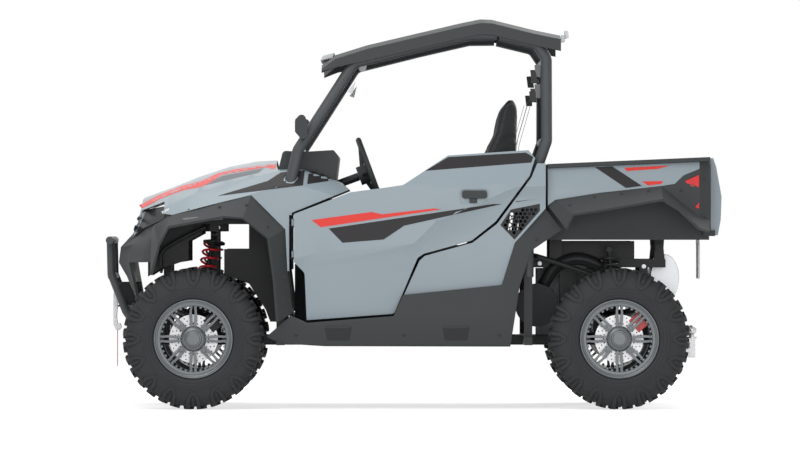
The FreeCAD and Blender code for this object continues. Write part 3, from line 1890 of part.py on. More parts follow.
def bed_side(flare_solid, lamp_solid):
    """The painted outer side of the bed."""
    skin = side_skin(
        "bed_side_skin",
        [
            (from_bed(4), bed_side_line(from_bed(4), 0)),
            (from_bed(-560), bed_side_line(from_bed(-560), 0)),
            (from_bed(-740), bed_side_line(from_bed(-740), 10)),
            (S.bed_rear_x - 10, bed_side_line(S.bed_rear_x - 10, 50)),
        ],
        S.panel_wall,
    )
    blank = plate(
        "bed_side_blank",
        [
            (from_bed(-4), 1230),
            (from_bed(-4), 985),
            (from_bed(-41), 1013),
            (from_bed(-257), 1047),
            (from_bed(-556), 1080),
            (from_bed(-619), 1090),
            (from_bed(-662), 1131),
            (from_bed(-740), 1163),
            (from_bed(-740), 1230),
        ],
        S.bed_half_width + 20,
        REAR_LIP_Y,
    )
    panel = common("bed_side_panel", skin, blank)
    return cut("bed_side", panel, fused("bed_side_tools", [flare_solid, lamp_solid]))


def tailgate():
    """The drop gate, bowed outwards, turning on the pins of the bed's lugs."""
    outline = [
        (S.bed_rear_x - S.moving_gap, GATE_TOP_Z),
        (S.bed_rear_x - S.moving_gap, GATE_PIN_Z - S.gate_hinge_radius, S.gate_hinge_radius - 0.5),
        (S.bed_rear_x - 42, GATE_PIN_Z - S.gate_hinge_radius),
        (S.bed_rear_x - 56, S.bed_floor_z + 80),
        (S.bed_rear_x - 60, 1030),
        (S.bed_rear_x - 34, 1174),
        (S.bed_rear_x - 20, GATE_TOP_Z),
    ]
    leaf = plate("tailgate_leaf", outline, -GATE_HALF, GATE_HALF)
    bores = []
    for side in (-1, 1):
        bores.append(
            rod(
                f"tailgate_bore{side + 1}",
                S.gate_pin_radius + S.running_gap,
                (GATE_PIN_X, (GATE_HALF - 30) * side, GATE_PIN_Z),
                (GATE_PIN_X, (GATE_HALF + 5) * side, GATE_PIN_Z),
            )
        )
    node("tailgate", cut("tailgate_whole", leaf, fused("tailgate_bores", bores)))


def tail_lamp():
    """A lamp let into the rear end of the bed's side."""
    return plate(
        "tail_lamp",
        [
            (S.bed_rear_x + 120, 1105),
            (S.bed_rear_x + 53, 1135),
            (S.bed_rear_x + 53, 969),
            (S.bed_rear_x + 120, 993),
        ],
        BED_SIDE_Y - 60,
        BED_SIDE_Y - 4,
    )


# Cab and fittings


def seat(label, side):
    """A bucket seat as one upholstered form."""
    y = SEAT_Y * side
    outline = [
        (from_door(-540), S.seat_box_z + S.running_gap),
        (from_door(-500), S.seat_box_z + 60, 20),
        (from_door(-510), S.seat_box_z + 130, 30),
        (from_door(-880), S.seat_box_z + 105, 40),
        (from_door(-960), 1180, 60),
        (from_door(-985), 1400, 40),
        (from_door(-1040), 1522, 20),
        (from_door(-1085), 1515, 20),
        (from_door(-1080), 1300, 40),
        (from_door(-1030), 900, 60),
        (from_door(-1010), S.seat_box_z + S.running_gap),
    ]
    item = plate(label + "_form", outline, y - S.seat_width / 2, y + S.seat_width / 2)
    return node(label, item)


def dashboard(cowl_bar):
    """The cowl and dash across the cab."""
    outline = [
        (ahead(-412), 1180),
        (ahead(-430), 1253, 20),
        (ahead(-523), 1247, 40),
        (ahead(-676), 1256, 10),
        (ahead(-700), 1225, 10),
        (ahead(-687), 1114, 20),
        (ahead(-640), 960, 20),
        (ahead(-560), 930, 20),
        (ahead(-445), 950),
        (ahead(-412), 1000),
    ]
    form = plate("dashboard_form", outline, -DASH_HALF, DASH_HALF)
    tools = fused("dashboard_ways", [column_bore("dash", S.column_radius + S.running_gap), cowl_bar])
    node("dashboard", cut("dashboard_whole", form, tools))


def steering_axis():
    """The unit vector from the dash towards the driver."""
    tilt = math.radians(float(S.steering_tilt))
    return Vector(-math.cos(tilt), 0, math.sin(tilt))


def steering_wheel():
    axis = steering_axis()
    centre = vec(S.steering_x, SEAT_Y, S.steering_z)
    turn = Rotation(Vector(0, 0, 1), axis)
    ring = doc.addObject("Part::Torus", "steering_ring")
    bind(ring, Radius1=S.wheel_rim_radius - S.wheel_rim_tube, Radius2=S.wheel_rim_tube)
    ring.Placement = Placement(centre, turn)
    pieces = [ring]
    hub_low = centre - axis * 60
    pieces.append(rod("steering_hub", 46, hub_low, centre - axis * 14))
    for angle in (90, 210, 330):
        direction = turn.multVec(Vector(math.cos(math.radians(angle)), math.sin(math.radians(angle)), 0))
        pieces.append(
            rod(
                f"steering_spoke{angle}",
                11,
                centre - axis * 40,
                centre + direction * float(S.wheel_rim_radius - S.wheel_rim_tube),
            )
        )
    node("steering_wheel", fused("steering_wheel_whole", pieces))


def steering_column():
    """The upper column from the dash and the lower shaft to the rack housing."""
    top, joint, foot = column_run()
    rack_x = ahead(S.tie_rod_ahead)
    housing = rod(
        "rack_housing", S.tie_rod_radius + 14, (rack_x, -150, S.tie_rod_z), (rack_x, 150, S.tie_rod_z)
    )
    bore = rod(
        "rack_bore",
        S.tie_rod_radius + S.running_gap,
        (rack_x, -160, S.tie_rod_z),
        (rack_x, 160, S.tie_rod_z),
    )
    upper = rod("column_upper", S.column_radius, top, joint)
    lower = rod("column_lower", S.column_radius * 0.6, joint, foot)
    node(
        "steering_column",
        cut("steering_column_whole", fused("column_solid", [upper, lower, housing]), bore),
    )


def mirror(pillar):
    arm = rod(
        "mirror_arm", 9, (from_door(-52), CAGE_FOOT_Y - 4, 1300), (from_door(-40), CAGE_FOOT_Y + 60, 1330)
    )
    head = plate(
        "mirror_head",
        [
            (from_door(-52), 1443, 20),
            (from_door(-10), 1400, 20),
            (from_door(-10), 1342, 10),
            (from_door(-67), 1274, 20),
            (from_door(-70), 1380, 20),
        ],
        CAGE_FOOT_Y + 40,
        CAGE_FOOT_Y + 130,
    )
    return cut("mirror", fused("mirror_solid", [arm, head]), pillar)


def seat_belts():
    """A retractor on each rear pillar and its webbing down to the seat."""
    front = S.bulkhead_x - 150 + S.cage_radius + S.running_gap
    reel = box("belt_reel", front, front + 46, 548, 592, 1489, 1639)
    webbing = plate(
        "belt_webbing",
        strip_outline([(front + 36, 1495), (front + 92, 1323), (front + 110, 1200)], 4),
        547,
        593,
    )
    pair("seat_belts", fused("seat_belt", [reel, webbing]))


def front_bumper():
    pieces = []
    for side in (-1, 1):
        y = 230 * side
        pieces.append(
            tube(
                f"guard{side + 1}",
                [
                    (FRONT_END_X + S.running_gap, y, RAIL_TOP_Z - S.frame_tube / 2),
                    (FRONT_END_X + 60, y, RAIL_TOP_Z - S.frame_tube / 2),
                    (ahead(345), y, 470),
                    (ahead(416), y, 650),
                    (ahead(420), y, 817),
                ],
                S.guard_radius,
                24,
            )
        )
    pieces.append(rod("guard_top", S.guard_radius, (ahead(420), -330, 817), (ahead(420), 330, 817)))
    pieces.append(box("winch_tray", ahead(280), ahead(384), -232, 232, WINCH_Z - 8, WINCH_Z))
    pieces.append(rod("guard_mid", S.guard_radius, (ahead(414), -230, 640), (ahead(414), 230, 640)))
    node("front_bumper", fused("front_bumper_whole", pieces))


def winch():
    drum = rod("winch_drum", 40, (ahead(325), -110, WINCH_Z + 56), (ahead(325), 110, WINCH_Z + 56))
    ends = []
    for side in (-1, 1):
        ends.append(
            box(
                f"winch_end{side + 1}",
                ahead(280),
                ahead(378),
                110 * side - 30,
                110 * side + 30,
                WINCH_Z + S.running_gap,
                WINCH_Z + 112,
            )
        )
    fairlead = box("winch_fairlead", ahead(374), ahead(388), -100, 100, WINCH_Z + 14, WINCH_Z + 96)
    node("winch", fused("winch_whole", [drum, fairlead] + ends))
    face = ahead(388) + S.running_gap
    hook = plate(
        "winch_hook_form",
        [
            (face, WINCH_Z + 60, 5),
            (face + 26, WINCH_Z + 60, 5),
            (face + 26, 400, 10),
            (face + 14, HOOK_FOOT_Z),
            (face - 2, HOOK_FOOT_Z),
            (face - 16, HOOK_FOOT_Z + 12, 6),
            (face - 10, 410, 6),
            (face + 4, 406, 4),
            (face + 8, 440, 4),
        ],
        -8,
        8,
    )
    node("winch_hook", hook)
    strap = box(
        "winch_strap_form",
        face + 4,
        face + 7,
        -S.strap_width / 2,
        S.strap_width / 2,
        HOOK_FOOT_Z - S.running_gap - S.strap_length,
        HOOK_FOOT_Z - S.running_gap,
    )
    node("winch_strap", strap)


def engine():
    """The engine as one mass, and the round drive cover on its left."""
    half = S.frame_rail_y - S.frame_tube / 2 - 10
    block = box(
        "engine_mass",
        S.bulkhead_x - 380,
        S.bulkhead_x - 110,
        -half,
        half,
        RAIL_TOP_Z + S.running_gap,
        680,
    )
    node("engine_block", block)
    neck = rod("clutch_neck", 84, (behind(391), half + S.running_gap, 501), (behind(391), 280, 501))
    cover = rod("clutch_dome", 105, (behind(391), 270, 501), (behind(391), 400, 501))
    node("clutch_cover", fused("clutch_cover_whole", [neck, cover]))


def muffler():
    """An oval silencer across the tail and its pipe to the engine."""
    body = doc.addObject("PartDesign::Body", "muffler_can")
    sketch = body.newObject("Sketcher::SketchObject", "muffler_outline")
    plane = [f for f in body.Origin.OriginFeatures if f.Role == "XZ_Plane"][0]
    sketch.AttachmentSupport = [(plane, "")]
    sketch.MapMode = "FlatFace"
    sketch.AttachmentOffset = Placement(Vector(0, 0, -200), Rotation())
    centre = vec(behind(-239), 632, 0)
    sketch.addGeometry(Part.Ellipse(centre + Vector(0, 116, 0), centre + Vector(70, 0, 0), centre))
    pad = body.newObject("PartDesign::Pad", "muffler_pad")
    pad.Profile = sketch
    pad.Length = 480
    pipe = rod(
        "muffler_pipe", 22, (behind(-200), -60, 600), (S.bulkhead_x - 380 - S.running_gap, -60, 600)
    )
    node("muffler", fused("muffler_whole", [body, pipe]))


def tow_hitch():
    """A receiver beam, and a ball standing on a drop plate at its end."""
    end = behind(-400)
    beam = box("hitch_beam", end + 20, REAR_END_X, -32, 32, HITCH_Z - 30, HITCH_Z + 30)
    across = rod("hitch_bore", S.hitch_pin_radius, (end + 38, -60, HITCH_Z), (end + 38, 60, HITCH_Z))
    drop = plate(
        "hitch_drop",
        [
            (end + 4, HITCH_Z - 54, 6),
            (end + 40, HITCH_Z - 54, 6),
            (end + 40, HITCH_Z + 42, 6),
            (end + 4, HITCH_Z + 42, 6),
        ],
        -24,
        24,
    )
    collar = rod("hitch_collar", S.ball_radius, (end + 22, 0, HITCH_Z + 40), (end + 22, 0, HITCH_Z + 50))
    neck = rod("hitch_neck", 13, (end + 22, 0, HITCH_Z + 40), (end + 22, 0, HITCH_Z + 78))
    ball = doc.addObject("Part::Sphere", "hitch_ball")
    bind(ball, Radius=S.ball_radius)
    place(ball, end + 22, 0.0, HITCH_Z + 82)
    node(
        "tow_hitch",
        cut("tow_hitch_whole", fused("hitch_solid", [beam, drop, collar, neck, ball]), across),
    )


def rear_liner():
    """The wall between the engine bay and the left rear wheel, under the bed."""
    outline = [
        (S.bulkhead_x - 218, 420),
        (behind(170), 420),
        (behind(150), 640),
        (behind(-86), 700),
        (behind(-86), S.bed_under_z - S.moving_gap),
        (S.bulkhead_x - 218, S.bed_under_z - S.moving_gap),
    ]
    inner = S.rear_rail_y - S.frame_tube / 2 - S.liner_wall - S.running_gap
    return plate("rear_liner", outline, inner, inner + S.liner_wall)


def plate_holder():
    stem = box(
        "plate_stem", S.bed_rear_x + 40, S.bed_rear_x + 56, 340, 400, 800, S.bed_under_z - S.running_gap
    )
    board = box("plate_board", S.bed_rear_x + 42, S.bed_rear_x + 50, 225, 485, 631, 801)
    node("plate_holder", fused("plate_holder_whole", [stem, board]))


def body_panels():
    arch = front_flare()
    pair("front_flares", arch)
    panel = fender(arch)
    fenders = pair("front_fenders", panel)
    bonnet = hood()
    lamps = pair("headlamps", cut("headlamp_whole", headlamp(), panel))
    pair("front_liners", front_liner())
    pair("rear_liners", rear_liner())
    front_fascia([lamps], [bonnet, fenders])
    left = door("door_left")
    node("door_left", left)
    node("door_right", mirrored("door_right_copy", left))
    skin, panel = rear_quarter()
    pair("rear_quarters", cut("quarter", panel, vent_opening()))
    pair("side_vents", side_vent(skin))
    return pair("rockers", rocker(arch))


def bed():
    cargo_box()
    arch = rear_flare()
    lamp = tail_lamp()
    pair("bed_sides", bed_side(arch, lamp))
    pair("bed_flares", cut("rear_flare_whole", arch, lamp))
    pair("tail_lamps", lamp)
    plate_holder()
    tailgate()


def cab():
    cab_tub()
    seat("seat_left", 1)
    seat("seat_right", -1)
    dashboard(doc.getObject("cowl_bar"))
    steering_wheel()
    steering_column()
    pair("mirrors", mirror(doc.getObject("a_pillar2")))
    seat_belts()


def structure(sills):
    chassis_frame(sills)
    skid_plate()
    top = roof()
    cage_front(top)
    cage_rear(top)
    front_bumper()
    winch()
    engine()
    muffler()
    tow_hitch()


wheels()
running_gear()
structure(body_panels())
bed()
cab()
doc.recompute()

for item in doc.Objects:
    if "Invalid" in item.State or "Error" in item.State:
        raise RuntimeError(f"{item.Label} did not build: {item.State}")
os.makedirs("parts", exist_ok=True)
for label, item in nodes.items():
    if item.Shape.isNull() or not item.Shape.isValid() or item.Shape.Volume <= 0:
        raise RuntimeError(f"{label} has no valid shape")
    item.Shape.exportStep(f"parts/{label}.step")
    box_of = item.Shape.BoundBox
    print(
        f"{label}: {len(item.Shape.Solids)} solids, {item.Shape.Volume / 1e6:.2f} litres,"
        f" x {box_of.XMin:.0f} {box_of.XMax:.0f} y {box_of.YMin:.0f} {box_of.YMax:.0f}"
        f" z {box_of.ZMin:.0f} {box_of.ZMax:.0f}"
    )
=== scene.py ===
"""Side by side utility vehicle: looks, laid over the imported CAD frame. Metres, X forward, Y left, Z up."""

import json
import math

import bmesh
import bpy
from mathutils import Matrix, Vector
from mathutils.bvhtree import BVHTree


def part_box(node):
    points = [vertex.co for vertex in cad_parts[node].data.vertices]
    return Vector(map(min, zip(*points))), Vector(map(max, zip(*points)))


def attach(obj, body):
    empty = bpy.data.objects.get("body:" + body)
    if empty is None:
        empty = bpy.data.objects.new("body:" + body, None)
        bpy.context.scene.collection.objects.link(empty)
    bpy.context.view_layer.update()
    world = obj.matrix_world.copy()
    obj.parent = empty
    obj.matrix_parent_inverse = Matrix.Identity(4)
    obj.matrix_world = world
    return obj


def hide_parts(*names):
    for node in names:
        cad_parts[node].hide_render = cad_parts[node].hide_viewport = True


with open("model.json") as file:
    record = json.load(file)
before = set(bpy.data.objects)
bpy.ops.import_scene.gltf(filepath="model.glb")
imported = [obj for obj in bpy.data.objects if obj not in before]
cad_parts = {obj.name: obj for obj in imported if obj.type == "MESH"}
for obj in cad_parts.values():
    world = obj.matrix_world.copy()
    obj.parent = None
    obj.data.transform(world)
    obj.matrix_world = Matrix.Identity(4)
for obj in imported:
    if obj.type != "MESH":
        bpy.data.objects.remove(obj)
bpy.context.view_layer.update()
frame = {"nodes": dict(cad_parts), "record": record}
NODES = frame["nodes"]
MM = 0.001

SIDES = (("left", 1), ("right", -1))

# Wheels, with their radius and height from the frame
TYRE_LOW, TYRE_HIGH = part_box("tyre_front_left")
TYRE_RADIUS = (TYRE_HIGH[2] - TYRE_LOW[2]) / 2
AXLE_Z = (TYRE_HIGH[2] + TYRE_LOW[2]) / 2
BEAD_RADIUS = 0.178
RIM_RADIUS = 0.191
LUG_PROUD = 0.002
LUG_HEIGHT = 0.014
CARCASS_DROP = 0.0145
RIB_RADII = (0.232, 0.246, 0.214)
RIB_HEIGHT = 0.0016
TURN_STEPS = 96
SPOKES = 8
SPOKE_FOOT = 0.056
SPOKE_REACH = 0.116
LUGS = 16
NOTCHES = 40
NUT_CIRCLE = 0.076

# Camera of the photograph: far away, level, on the vehicle's left
CAMERA_DISTANCE = 35.79
CAMERA_X = 0.060
CAMERA_Z = 0.892
NEAR_SIDE_Y = 0.79
VIEW_WIDTH = 3.856
SENSOR = 36.0
WHITE = (1.0, 1.0, 1.0, 1.0)
WORLD_LIGHT = 0.42
FLOOR_COLOR = (0.8, 0.8, 0.8, 1.0)
FLOOR_GLOW = 0.66


# Scene


def make_camera():
    data = bpy.data.cameras.new("camera")
    data.sensor_width = SENSOR
    data.lens = SENSOR * (CAMERA_DISTANCE - NEAR_SIDE_Y) / VIEW_WIDTH
    data.clip_end = 200.0
    camera = bpy.data.objects.new("camera", data)
    camera.location = (CAMERA_X, CAMERA_DISTANCE, CAMERA_Z)
    camera.rotation_euler = (math.radians(90), 0, math.radians(180))
    bpy.context.scene.collection.objects.link(camera)
    bpy.context.scene.camera = camera


def area_light(name, place, target, size, power, size_y=None):
    data = bpy.data.lights.new(name, "AREA")
    data.shape = "RECTANGLE"
    data.size = size
    data.size_y = size_y or size
    data.energy = power
    light = bpy.data.objects.new(name, data)
    light.location = place
    aim = Vector(target) - Vector(place)
    light.rotation_euler = aim.to_track_quat("-Z", "Y").to_euler()
    bpy.context.scene.collection.objects.link(light)


def make_lights():
    area_light("key", (2.5, 5.0, 5.5), (0.0, 0.3, 0.8), 4.5, 190)
    area_light("top", (0.0, 0.0, 6.0), (0.0, 0.0, 0.0), 6.0, 150, 4.0)
    area_light("fill", (-1.5, 8.0, 1.6), (0.0, 0.0, 0.9), 7.0, 130, 3.0)
    area_light("back", (-3.5, -5.0, 4.0), (0.0, 0.0, 0.8), 5.0, 160)


def seen_directly(tree):
    """One for rays from the camera, and for those that reach it through gloss or glass."""
    path = tree.nodes.new("ShaderNodeLightPath")
    total = path.outputs["Is Camera Ray"]
    for other in ("Is Glossy Ray", "Is Transmission Ray"):
        most = tree.nodes.new("ShaderNodeMath")
        most.operation = "MAXIMUM"
        tree.links.new(total, most.inputs[0])
        tree.links.new(path.outputs[other], most.inputs[1])
        total = most.outputs[0]
    return total


def make_world():
    bpy.context.scene.view_settings.view_transform = "Standard"
    world = bpy.data.worlds.new("studio")
    bpy.context.scene.world = world
    world.use_nodes = True
    tree = world.node_tree
    tree.nodes.clear()
    output = tree.nodes.new("ShaderNodeOutputWorld")
    mix = tree.nodes.new("ShaderNodeMixShader")
    tree.links.new(seen_directly(tree), mix.inputs["Fac"])
    for socket, strength in ((mix.inputs[1], WORLD_LIGHT), (mix.inputs[2], 1.0)):
        back = tree.nodes.new("ShaderNodeBackground")
        back.inputs["Color"].default_value = WHITE
        back.inputs["Strength"].default_value = strength
        tree.links.new(back.outputs[0], socket)
    tree.links.new(mix.outputs[0], output.inputs["Surface"])


def make_floor():
    """A pale floor that turns white for the camera and keeps the shadows."""
    size = 40.0
    mesh = bpy.data.meshes.new("floor")
    corners = [(-size, -size, 0), (size, -size, 0), (size, size, 0), (-size, size, 0)]
    mesh.from_pydata(corners, [], [(0, 1, 2, 3)])
    floor = bpy.data.objects.new("floor", mesh)
    bpy.context.scene.collection.objects.link(floor)
    paint = bpy.data.materials.new("floor")
    paint.use_nodes = True
    tree = paint.node_tree
    tree.nodes.clear()
    output = tree.nodes.new("ShaderNodeOutputMaterial")
    matt = tree.nodes.new("ShaderNodeBsdfDiffuse")
    matt.inputs["Color"].default_value = FLOOR_COLOR
    glow = tree.nodes.new("ShaderNodeEmission")
    glow.inputs["Color"].default_value = WHITE
    level = tree.nodes.new("ShaderNodeMath")
    level.operation = "MULTIPLY"
    level.inputs[1].default_value = FLOOR_GLOW
    both = tree.nodes.new("ShaderNodeAddShader")
    tree.links.new(seen_directly(tree), level.inputs[0])
    tree.links.new(level.outputs[0], glow.inputs["Strength"])
    tree.links.new(matt.outputs[0], both.inputs[0])
    tree.links.new(glow.outputs[0], both.inputs[1])
    tree.links.new(both.outputs[0], output.inputs["Surface"])
    floor.data.materials.append(paint)


# Materials


MATERIALS = {}
MOTTLE_SCALE = 9.0
METAL_SHINE = 0.5
PLASTIC_SHINE = 0.22
COAT_ROUGHNESS = 0.08
GLOSS_DRIFT = 0.05
RELIEF_DEPTH = 0.0006
REAR_COIL_COLOR = (0.03, 0.031, 0.033, 1.0)


def material(name, color, roughness, metallic=0.0, grain=900.0, relief=0.1, coat=0.0, shade=0.08, sheen=0.0):
    """A procedural surface: a drifting colour, an uneven gloss and a fine relief."""
    made = bpy.data.materials.new(name)
    made.use_nodes = True
    tree = made.node_tree
    shader = tree.nodes["Principled BSDF"]
    shader.inputs["Metallic"].default_value = metallic
    shader.inputs["Coat Weight"].default_value = coat
    shader.inputs["Specular IOR Level"].default_value = METAL_SHINE if metallic else PLASTIC_SHINE
    shader.inputs["Coat Roughness"].default_value = COAT_ROUGHNESS
    shader.inputs["Sheen Weight"].default_value = sheen
    place = tree.nodes.new("ShaderNodeTexCoord")
    drift = tree.nodes.new("ShaderNodeTexNoise")
    drift.inputs["Scale"].default_value = MOTTLE_SCALE
    drift.inputs["Detail"].default_value = 6.0
    tone = tree.nodes.new("ShaderNodeMix")
    tone.data_type = "RGBA"
    tone.inputs[6].default_value = tuple(c * (1 - shade) for c in color) + (1.0,)
    tone.inputs[7].default_value = tuple(min(1.0, c * (1 + shade)) for c in color) + (1.0,)
    gloss = tree.nodes.new("ShaderNodeMapRange")
    gloss.inputs["To Min"].default_value = max(0.02, roughness - GLOSS_DRIFT)
    gloss.inputs["To Max"].default_value = min(1.0, roughness + GLOSS_DRIFT)
    fine = tree.nodes.new("ShaderNodeTexNoise")
    fine.inputs["Scale"].default_value = grain
    fine.inputs["Detail"].default_value = 3.0
    bump = tree.nodes.new("ShaderNodeBump")
    bump.inputs["Strength"].default_value = relief
    bump.inputs["Distance"].default_value = RELIEF_DEPTH
    tree.links.new(place.outputs["Object"], drift.inputs["Vector"])
    tree.links.new(place.outputs["Object"], fine.inputs["Vector"])
    tree.links.new(drift.outputs["Fac"], tone.inputs[0])
    tree.links.new(drift.outputs["Fac"], gloss.inputs["Value"])
    tree.links.new(tone.outputs[2], shader.inputs["Base Color"])
    tree.links.new(gloss.outputs["Result"], shader.inputs["Roughness"])
    tree.links.new(fine.outputs["Fac"], bump.inputs["Height"])
    tree.links.new(bump.outputs["Normal"], shader.inputs["Normal"])
    MATERIALS[name] = made
    return made


material("panel_grey", (0.29, 0.345, 0.38), 0.3, relief=0.05, coat=0.15, shade=0.02)
material("trim_dark", (0.045, 0.0492, 0.051), 0.55, grain=1400.0, relief=0.35)
material("frame_black", (0.025, 0.026, 0.028), 0.42, relief=0.2)
material("cage_black", (0.07, 0.075, 0.08), 0.4, relief=0.2)
material("tyre_rubber", (0.035, 0.036, 0.038), 0.7, grain=700.0, relief=0.4, shade=0.2)
material("rim_alloy", (0.12, 0.13, 0.135), 0.36, metallic=0.7, relief=0.1)
material("steel", (0.5, 0.5, 0.51), 0.35, metallic=0.9, grain=500.0, relief=0.15)
material("alloy_case", (0.16, 0.165, 0.17), 0.5, metallic=0.6, grain=400.0, relief=0.3)
material("lens_clear", (0.022, 0.023, 0.025), 0.42, coat=0.08, relief=0.02)
material("lens_red", (0.66, 0.008, 0.012), 0.2, coat=0.1, relief=0.05)
material("lens_deep", (0.30, 0.004, 0.006), 0.2, coat=0.3, relief=0.1, grain=300.0)
# Silver of the headlamp decal: a painted highlight on the dark lens.
material("headlamp_painted_highlight", (0.62, 0.64, 0.66), 0.2, metallic=0.6, relief=0.02)
material("panel_shade", (0.13, 0.15, 0.165), 0.4, relief=0.05, shade=0.02)
# Pale grey of the pillar tabs, and a painted highlight on the roof's front and rear lips.
material("pale_trim_and_highlight", (0.62, 0.65, 0.66), 0.35, relief=0.05, shade=0.03)
material("trim_grey", (0.14, 0.15, 0.155), 0.5, grain=1200.0, relief=0.3)
material("stitching", (0.16, 0.16, 0.165), 0.7, relief=0.3)
material("seat_vinyl", (0.035, 0.036, 0.038), 0.55, grain=600.0, relief=0.6)
material("spring_red", (0.7, 0.01, 0.02), 0.3, coat=0.5, relief=0.05)
material("strap_red", (0.6, 0.03, 0.03), 0.8, grain=900.0, relief=0.8, sheen=0.3)
material("belt_black", (0.02, 0.02, 0.022), 0.8, grain=900.0, relief=0.8, sheen=0.3)
material("muffler_steel", (0.42, 0.43, 0.44), 0.3, metallic=0.9, grain=300.0, relief=0.08)
material("plate_blank", (0.7, 0.7, 0.7), 0.5, relief=0.05)
material("graphic_red", (0.72, 0.045, 0.035), 0.35, coat=0.05, relief=0.02, shade=0.02)
material("graphic_black", (0.02, 0.018, 0.02), 0.4, coat=0.02, relief=0.02)


def spring_finish():
    """Red coils at the front axle and dark ones at the rear, told apart by their place."""
    made = material("coils", (0.7, 0.01, 0.02), 0.3, coat=0.4, relief=0.05)
    tree = made.node_tree
    shader = tree.nodes["Principled BSDF"]
    drift = shader.inputs["Base Color"].links[0].from_socket
    place = tree.nodes.new("ShaderNodeTexCoord")
    parts = tree.nodes.new("ShaderNodeSeparateXYZ")
    ahead = tree.nodes.new("ShaderNodeMath")
    ahead.operation = "GREATER_THAN"
    ahead.inputs[1].default_value = 0.0
    pick = tree.nodes.new("ShaderNodeMix")
    pick.data_type = "RGBA"
    pick.inputs[6].default_value = REAR_COIL_COLOR
    tree.links.new(place.outputs["Object"], parts.inputs[0])
    tree.links.new(parts.outputs["X"], ahead.inputs[0])
    tree.links.new(ahead.outputs[0], pick.inputs[0])
    tree.links.new(drift, pick.inputs[7])
    tree.links.new(pick.outputs[2], shader.inputs["Base Color"])


spring_finish()

# Dressing of the CAD nodes, angles in degrees
WELD_DISTANCE = 0.00002
FLAT_ANGLE = 0.6
EDGE_WIDTH = 0.0022
EDGE_ANGLE = 28

# Nodes whose finish isn't the one of their record slot
FINISHES = {
    "springs": "coils",
    "front_caliper_left": "frame_black",
    "front_caliper_right": "frame_black",
}


def dress_cad():
    """Rounded edges and a finish for each CAD node, by its record slot."""
    slots = {row["node"]: row["material_slot"] for row in frame["record"]["subparts"]}
    for name, item in NODES.items():
        item.data.materials.clear()
        item.data.materials.append(MATERIALS[FINISHES.get(name, slots[name])])
        item.data.shade_smooth()
        weld = item.modifiers.new("weld", "WELD")
        weld.merge_threshold = WELD_DISTANCE
        flatten = item.modifiers.new("flatten", "DECIMATE")
        flatten.decimate_type = "DISSOLVE"
        flatten.angle_limit = math.radians(FLAT_ANGLE)
        soften = item.modifiers.new("soften", "BEVEL")
        soften.width = EDGE_WIDTH
        soften.segments = 2
        soften.limit_method = "ANGLE"
        soften.angle_limit = math.radians(EDGE_ANGLE)
        weight = item.modifiers.new("weight", "WEIGHTED_NORMAL")
        weight.keep_sharp = False


# Mesh tools


def piece(name, build, finish, body, smooth=False, bevel=0.0, segments=2, angle=30.0):
    """A mesh piece that rides on a body."""
    mesh = bpy.data.meshes.new(name)
    mesh.from_pydata(build.verts, [], build.faces)
    work = bmesh.new()
    work.from_mesh(mesh)
    bmesh.ops.recalc_face_normals(work, faces=work.faces)
    work.to_mesh(mesh)
    work.free()
    item = bpy.data.objects.new(name, mesh)
    bpy.context.scene.collection.objects.link(item)
    mesh.materials.append(MATERIALS[finish])
    if bevel:
        soften = item.modifiers.new("soften", "BEVEL")
        soften.width = bevel
        soften.segments = segments
        soften.limit_method = "ANGLE"
        soften.angle_limit = math.radians(angle)
    if bevel or smooth:
        mesh.shade_smooth()
        weight = item.modifiers.new("weight", "WEIGHTED_NORMAL")
        weight.keep_sharp = False
    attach(item, body)
    return item


class Build:
    """Vertices and faces of one mesh, gathered part by part."""

    def __init__(self):
        self.verts = []
        self.faces = []

    def add(self, verts, faces):
        start = len(self.verts)
        self.verts.extend(tuple(v) for v in verts)
        self.faces.extend(tuple(start + i for i in f) for f in faces)

    def moved(self, x, y, z):
        """The same mesh at another place."""
        other = Build()
        other.add([(a + x, b + y, c + z) for a, b, c in self.verts], self.faces)
        return other

    def prism(self, outline, low, high, place):
        """An outline of pairs between two levels, each point through place(a, b, level)."""
        self.loft([[place(a, b, level) for a, b in outline] for level in (low, high)])

    def loft(self, rows):
        """Rows of the same count of points, joined in turn and closed at both ends."""
        count = len(rows[0])
        last = count * (len(rows) - 1)
        faces = []
        for a in range(0, last, count):
            b = a + count
            faces += [(a + k, a + (k + 1) % count, b + (k + 1) % count, b + k) for k in range(count)]
        faces += [tuple(range(count))[::-1], tuple(range(last, last + count))]
        self.add([v for row in rows for v in row], faces)

    def slab(self, outline, low, high):
        """An outline of X and Z in millimetres between two Y levels in metres."""
        self.prism(to_metres(outline), low, high, level_is_y)

    def ring(self, profile, steps, place):
        """A closed profile of radius and level, turned once through place(angle, radius, level)."""
        count = len(profile)
        verts = []
        for k in range(steps):
            angle = 2 * math.pi * k / steps
            verts += [place(angle, r, y) for r, y in profile]
        faces = []
        for k in range(steps):
            a = k * count
            b = ((k + 1) % steps) * count
            faces += [(a + i, a + (i + 1) % count, b + (i + 1) % count, b + i) for i in range(count)]
        self.add(verts, faces)

    def disc(self, radius, low, high, steps, place):
        """A plain round block of the given radius through place(a, b, level)."""
        self.prism(round_section(radius, steps), low, high, place)


def level_is_y(a, b, level):
    return (a, level, b)


def to_metres(outline):
    return [(x * MM, z * MM) for x, z in outline]


def round_section(radius, sides=14):
    turns = [2 * math.pi * k / sides for k in range(sides)]
    return [(radius * math.cos(turn), radius * math.sin(turn)) for turn in turns]


def flat_section(thickness, width):
    a = thickness / 2
    b = width / 2
    return [(-a, -b), (a, -b), (a, b), (-a, b)]


def blend(p, q, r, w, t):
    """A point t of the way from q to r, between the neighbours p and w."""
    square = 2 * p - 5 * q + 4 * r - w
    cube = 3 * q - p - 3 * r + w
    return 0.5 * (2 * q + (r - p) * t + square * t * t + cube * t**3)


def catmull(points, steps):
    """A smooth line through points, steps to each span."""
    line = []
    for i in range(len(points) - 1):
        before = points[max(i - 1, 0)]
        a = points[i]
        b = points[i + 1]
        after = points[min(i + 2, len(points) - 1)]
        for k in range(steps):
            line.append(tuple(blend(*values, k / steps) for values in zip(before, a, b, after)))
    line.append(points[-1])
    return line


